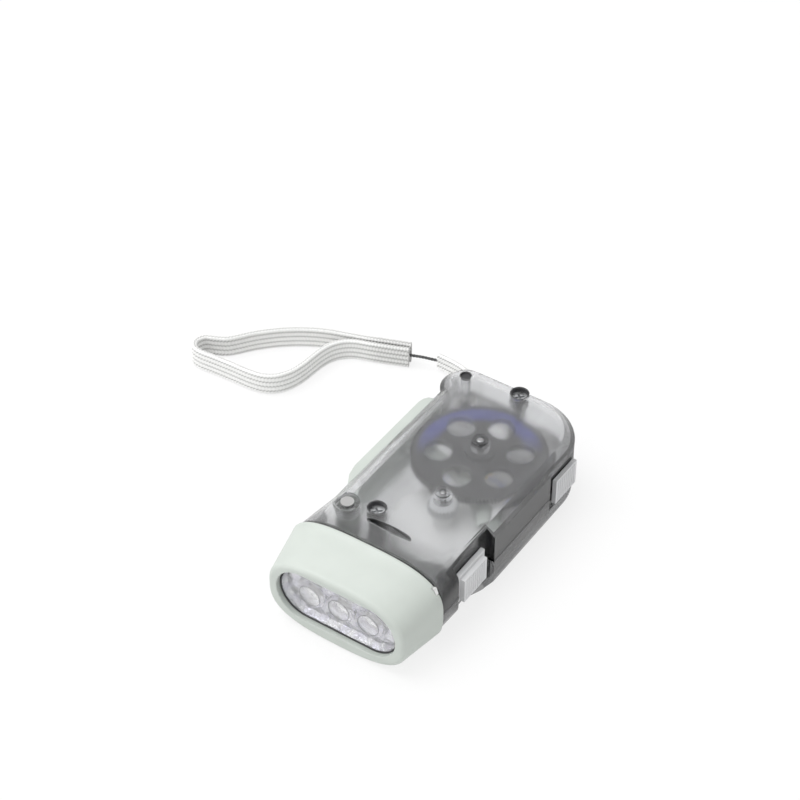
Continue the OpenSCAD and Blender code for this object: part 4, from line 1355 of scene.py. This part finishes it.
    def mirror(self) -> BMesh:
        """Makes the reflector: a bright tray with a fluted field and a beaded cup for each lamp.

        Returns:
            Its skin, turned to the front.
        """
        bm = joined([self.rim(), *(self.cell(k) for k in self.lamps)])
        for f in bm.faces:
            if f.normal.y > 0.2:
                f.normal_flip()
        return bm

    def seal(self) -> BMesh:
        """Lays the dark bead in the corner between the window's wall and the lens, a seal whose black is painted
        shade of the gap there.

        Returns:
            The bead.
        """
        inset = 2 * self.seal_r
        ring = [self.slot(k / 96, self.window_w - inset, self.window_h - inset) for k in range(97)]
        y = self.lens_y - 0.6 * self.seal_r
        run = Route([self.front(offset, y) for offset in ring], 2)
        return tube(run, self.seal_r, sides=10, along=288)

    def steps(self) -> BMesh:
        """Lays a fine step round the foot of each bulge of the lens, finished dark as painted shade of the
        bulge's edge.

        Returns:
            The three steps.
        """
        turns = [tau * t / 48 for t in range(49)]
        feet = [[self.front((k * self.lamp_step + self.eye_r * cos(t), self.eye_r * sin(t)), self.lens_y)
                 for t in turns] for k in self.lamps]
        return joined([tube(Route(points, 2), self.step_r, sides=8, along=96) for points in feet])

    def dies(self) -> BMesh:
        """Makes each lamp's chip, a small bright cup with a sunken face.

        Returns:
            The three chips.
        """
        bm = bmesh.new()
        for k in self.lamps:
            place = self.front((k * self.lamp_step, 0), self.mirror_y + self.chip_d) * MM
            turned = Matrix.Translation(place) @ Matrix.Rotation(radians(90), 4, "X")
            ring = bmesh.ops.create_cone(
                bm, cap_ends=True, segments=32, radius1=self.chip_r[0] * MM, radius2=self.chip_r[1] * MM,
                depth=self.chip_h * MM, matrix=turned)["verts"]
            top = max({f for v in ring for f in v.link_faces}, key=lambda f: -f.calc_center_median().y)
            bmesh.ops.inset_individual(bm, faces=[top], thickness=self.chip_edge * MM,
                                       depth=-self.chip_sunk * MM)
        return bm

    def build(self) -> None:
        """Makes the bezel, the reflector, the lens with its dark trims that carry painted shade, and the lamps'
        chips.
        """
        self.bench.piece(self.bezel(), "bezel_cap", Body.CASING, "bezel", crease=38)
        self.bench.piece(self.mirror(), "reflector_tray", Body.CASING, "reflector", crease=50)
        self.bench.softened("lens", "lens_pane", Body.CASING, 0, crease=20)
        for bm, name in ((self.dies(), "lamp_chips"), (self.seal(), "lens_seal_shade"), (self.steps(), "lens_step_shade")):
            self.bench.piece(bm, name, Body.CASING)


@dataclass
class Lever(Assembly):
    """Press lever with its pin and its return spring."""

    finishes: Finishes = (
        ("press_bar", Slot.MINT), ("return_coil", Slot.STEEL), ("lever_pivot_pin", Slot.WHITE))
    edge: float = 0.5
    pivot: Pair = (-16.7948, -20.9604)
    spring_r: float = 3.11
    spring_z: float = 6.6
    pitch: float = 1.3
    curls: int = 3
    curl_steps: int = 16
    start: float = 30.0
    leg: float = 6.0
    wire: float = 0.4

    def coil(self) -> BMesh:
        """Winds the return spring.

        Returns:
            The spring, with a straight leg at each end.
        """
        steps = self.curl_steps * self.curls
        turns = [radians(self.start + 360 / self.curl_steps * k) for k in range(steps + 1)]
        points = [polar(self.pivot, self.spring_r, turn, self.spring_z + self.pitch * k / self.curl_steps)
                  for k, turn in enumerate(turns)]
        first, last = (self.leg * Vector((-sin(t), cos(t), 0)) for t in (turns[0], turns[-1]))
        run = Route([points[0] - first, *points, points[-1] + last], 4)
        return tube(run, self.wire, sides=12, along=320)

    def build(self) -> None:
        """Copies the lever with moulded edges and winds the spring, which bends from the casing to the lever."""
        self.bench.softened("press_lever", "press_bar", Body.LEVER, self.edge)
        spring = self.bench.pieces["return_coil"] = placed(self.coil(), "return_coil", 180)
        low = Vector((*self.pivot, self.spring_z)) * MM
        high = Vector((*self.pivot, self.spring_z + self.pitch * self.curls)) * MM
        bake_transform(spring, Body.CASING.value, Body.LEVER.value, start=low, end=high)
        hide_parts("return_spring")
        LOG.info("return_coil: %d faces, bends from casing to lever", len(spring.data.polygons))


@dataclass
class GearTrain(Assembly):
    """Drive gear, one-way clutch and rotor pinion with their pins."""

    finishes: Finishes = (
        ("gear_pin", Slot.STEEL), ("rotor_pin", Slot.STEEL), ("drive_gear", Slot.DARK_GEAR),
        ("clutch_pinion", Slot.BRASS), ("clutch_pawls", Slot.BLACK), ("rotor_pinion", Slot.GREY))
    round_end: float = 0.5

    def build(self) -> None:
        """Copies the two pins with rounded ends."""
        self.bench.softened("drive_gear_pin", "gear_pin", Body.CASING, self.round_end)
        self.bench.softened("rotor_shaft", "rotor_pin", Body.ROTOR, self.round_end)


@dataclass
class Generator(Assembly):
    """Flywheel, magnet, stator and the leads."""

    finishes: Finishes = (
        ("coil_turns", Slot.COPPER), ("lead_pair", Slot.BLUE_WIRE), ("flywheel", Slot.WHITE),
        ("ring_magnet", Slot.FERRITE), ("claw_plate_lower", Slot.PLATED), ("claw_plate_upper", Slot.PLATED),
        ("coil_bobbin", Slot.WHITE))
    axis: Pair = (3.9854, -2.67)
    coil_in: float = 3.45
    coil_out: float = 7.75
    coil_low: float = 3.45
    coil_high: float = 8.45
    turns: int = 16
    swell: float = 0.14
    wire_r: float = 0.5
    lead_z: float = 2.35
    crease: float = 60.0

    def winding(self) -> BMesh:
        """Winds the coil, whose outside shows its turns of wire.

        Returns:
            The closed skin.
        """
        steps = self.turns * 6
        tall = self.coil_high - self.coil_low
        section = [(self.coil_out - self.swell + self.swell * abs(sin(pi * k / 6)),
                    self.coil_low + tall * k / (steps - 1)) for k in range(steps)]
        section += [(self.coil_in, self.coil_high), (self.coil_in, self.coil_low)]

        def place(u: float, v: float) -> Vector:
            """Point of the coil's skin."""
            r, z = section[round(u * len(section)) % len(section)]
            return polar(self.axis, r, tau * v, z)

        return wrapped(len(section), 96, place, capped=False)

    def runs(self) -> tuple[list[Sequence[float]], list[Sequence[float]]]:
        """Lays out the two leads.

        Returns:
            Points of the lead from the coil to the switch, and of the one from the coil to the lamp board.
        """
        low = self.lead_z

        def rotor(r: float, turn: float, z: float) -> Vector:
            """Point at a radius and a bearing, in degrees, from the rotor's axis."""
            return polar(self.axis, r, radians(turn), z)

        first = [rotor(9.5, 119, low), (-3, 8.4, low), (-7.5, 11.5, low), (-11, 15.5, low), (-11.5, 21, low),
                 (-8.5, 26, low), (-3, 29, low), (4, 29.5, low), (10.5, 27, low), (15.5, 21.5, low),
                 (18, 15.5, low), (18.8, 9, low), (18.6, 2, low), (17.8, -5, low), (16.9, -10, 2.45),
                 rotor(16.4, -37.5, 2.85), rotor(17.1, -39.3, 5.35), rotor(17.4, -40.3, 10.5),
                 (17.3, -14.16, 12.4), (17.3, -14.46, 13.1), (17.3, -15.06, 13.2)]
        second = [rotor(9.6, -31.3, low), rotor(12.35, -36.2, low), (14.6, -13.4, low), (13.6, -18.5, 2.45),
                  (12.6, -24.5, 3.3), (12, -29, 6.5), (12, -33, 9.3), (12, -36.76, 9.8)]
        return first, second

    def build(self) -> None:
        """Winds the coil and draws the two leads."""
        self.bench.piece(self.winding(), "coil_turns", Body.CASING, "coil_winding", crease=self.crease)
        leads = [tube(Route(points), self.wire_r, sides=14, along=8 * len(points)) for points in self.runs()]
        self.bench.piece(joined(leads), "lead_pair", Body.CASING, "lead_wires", crease=self.crease)


@dataclass
class Slides(Assembly):
    """Lamp slide with its switch, and lock slide."""

    finishes: Finishes = (
        ("lamp_slide_pad", Slot.GREY), ("lock_slide_pad", Slot.GREY), ("switch_block", Slot.BLACK))
    edge: float = 0.25

    def build(self) -> None:
        """Copies the slides with moulded edges."""
        for node, body in (("lamp_slide", Body.LAMP), ("lock_slide", Body.LOCK)):
            self.bench.softened(node, f"{node}_pad", body, self.edge)


def main() -> None:
    """Builds and dresses the part's sub-assemblies in order."""
    logging.basicConfig(level=logging.INFO, format="%(name)s: %(message)s")
    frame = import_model()
    bench = Bench(frame)
    Studio().build()
    for kind in (Strap, Casing, Head, Lever, GearTrain, Generator, Slides):
        assembly = kind(bench)
        assembly.build()
        assembly.dress()
        LOG.info("%s done", kind.__name__)


if __name__ == "__main__":
    main()
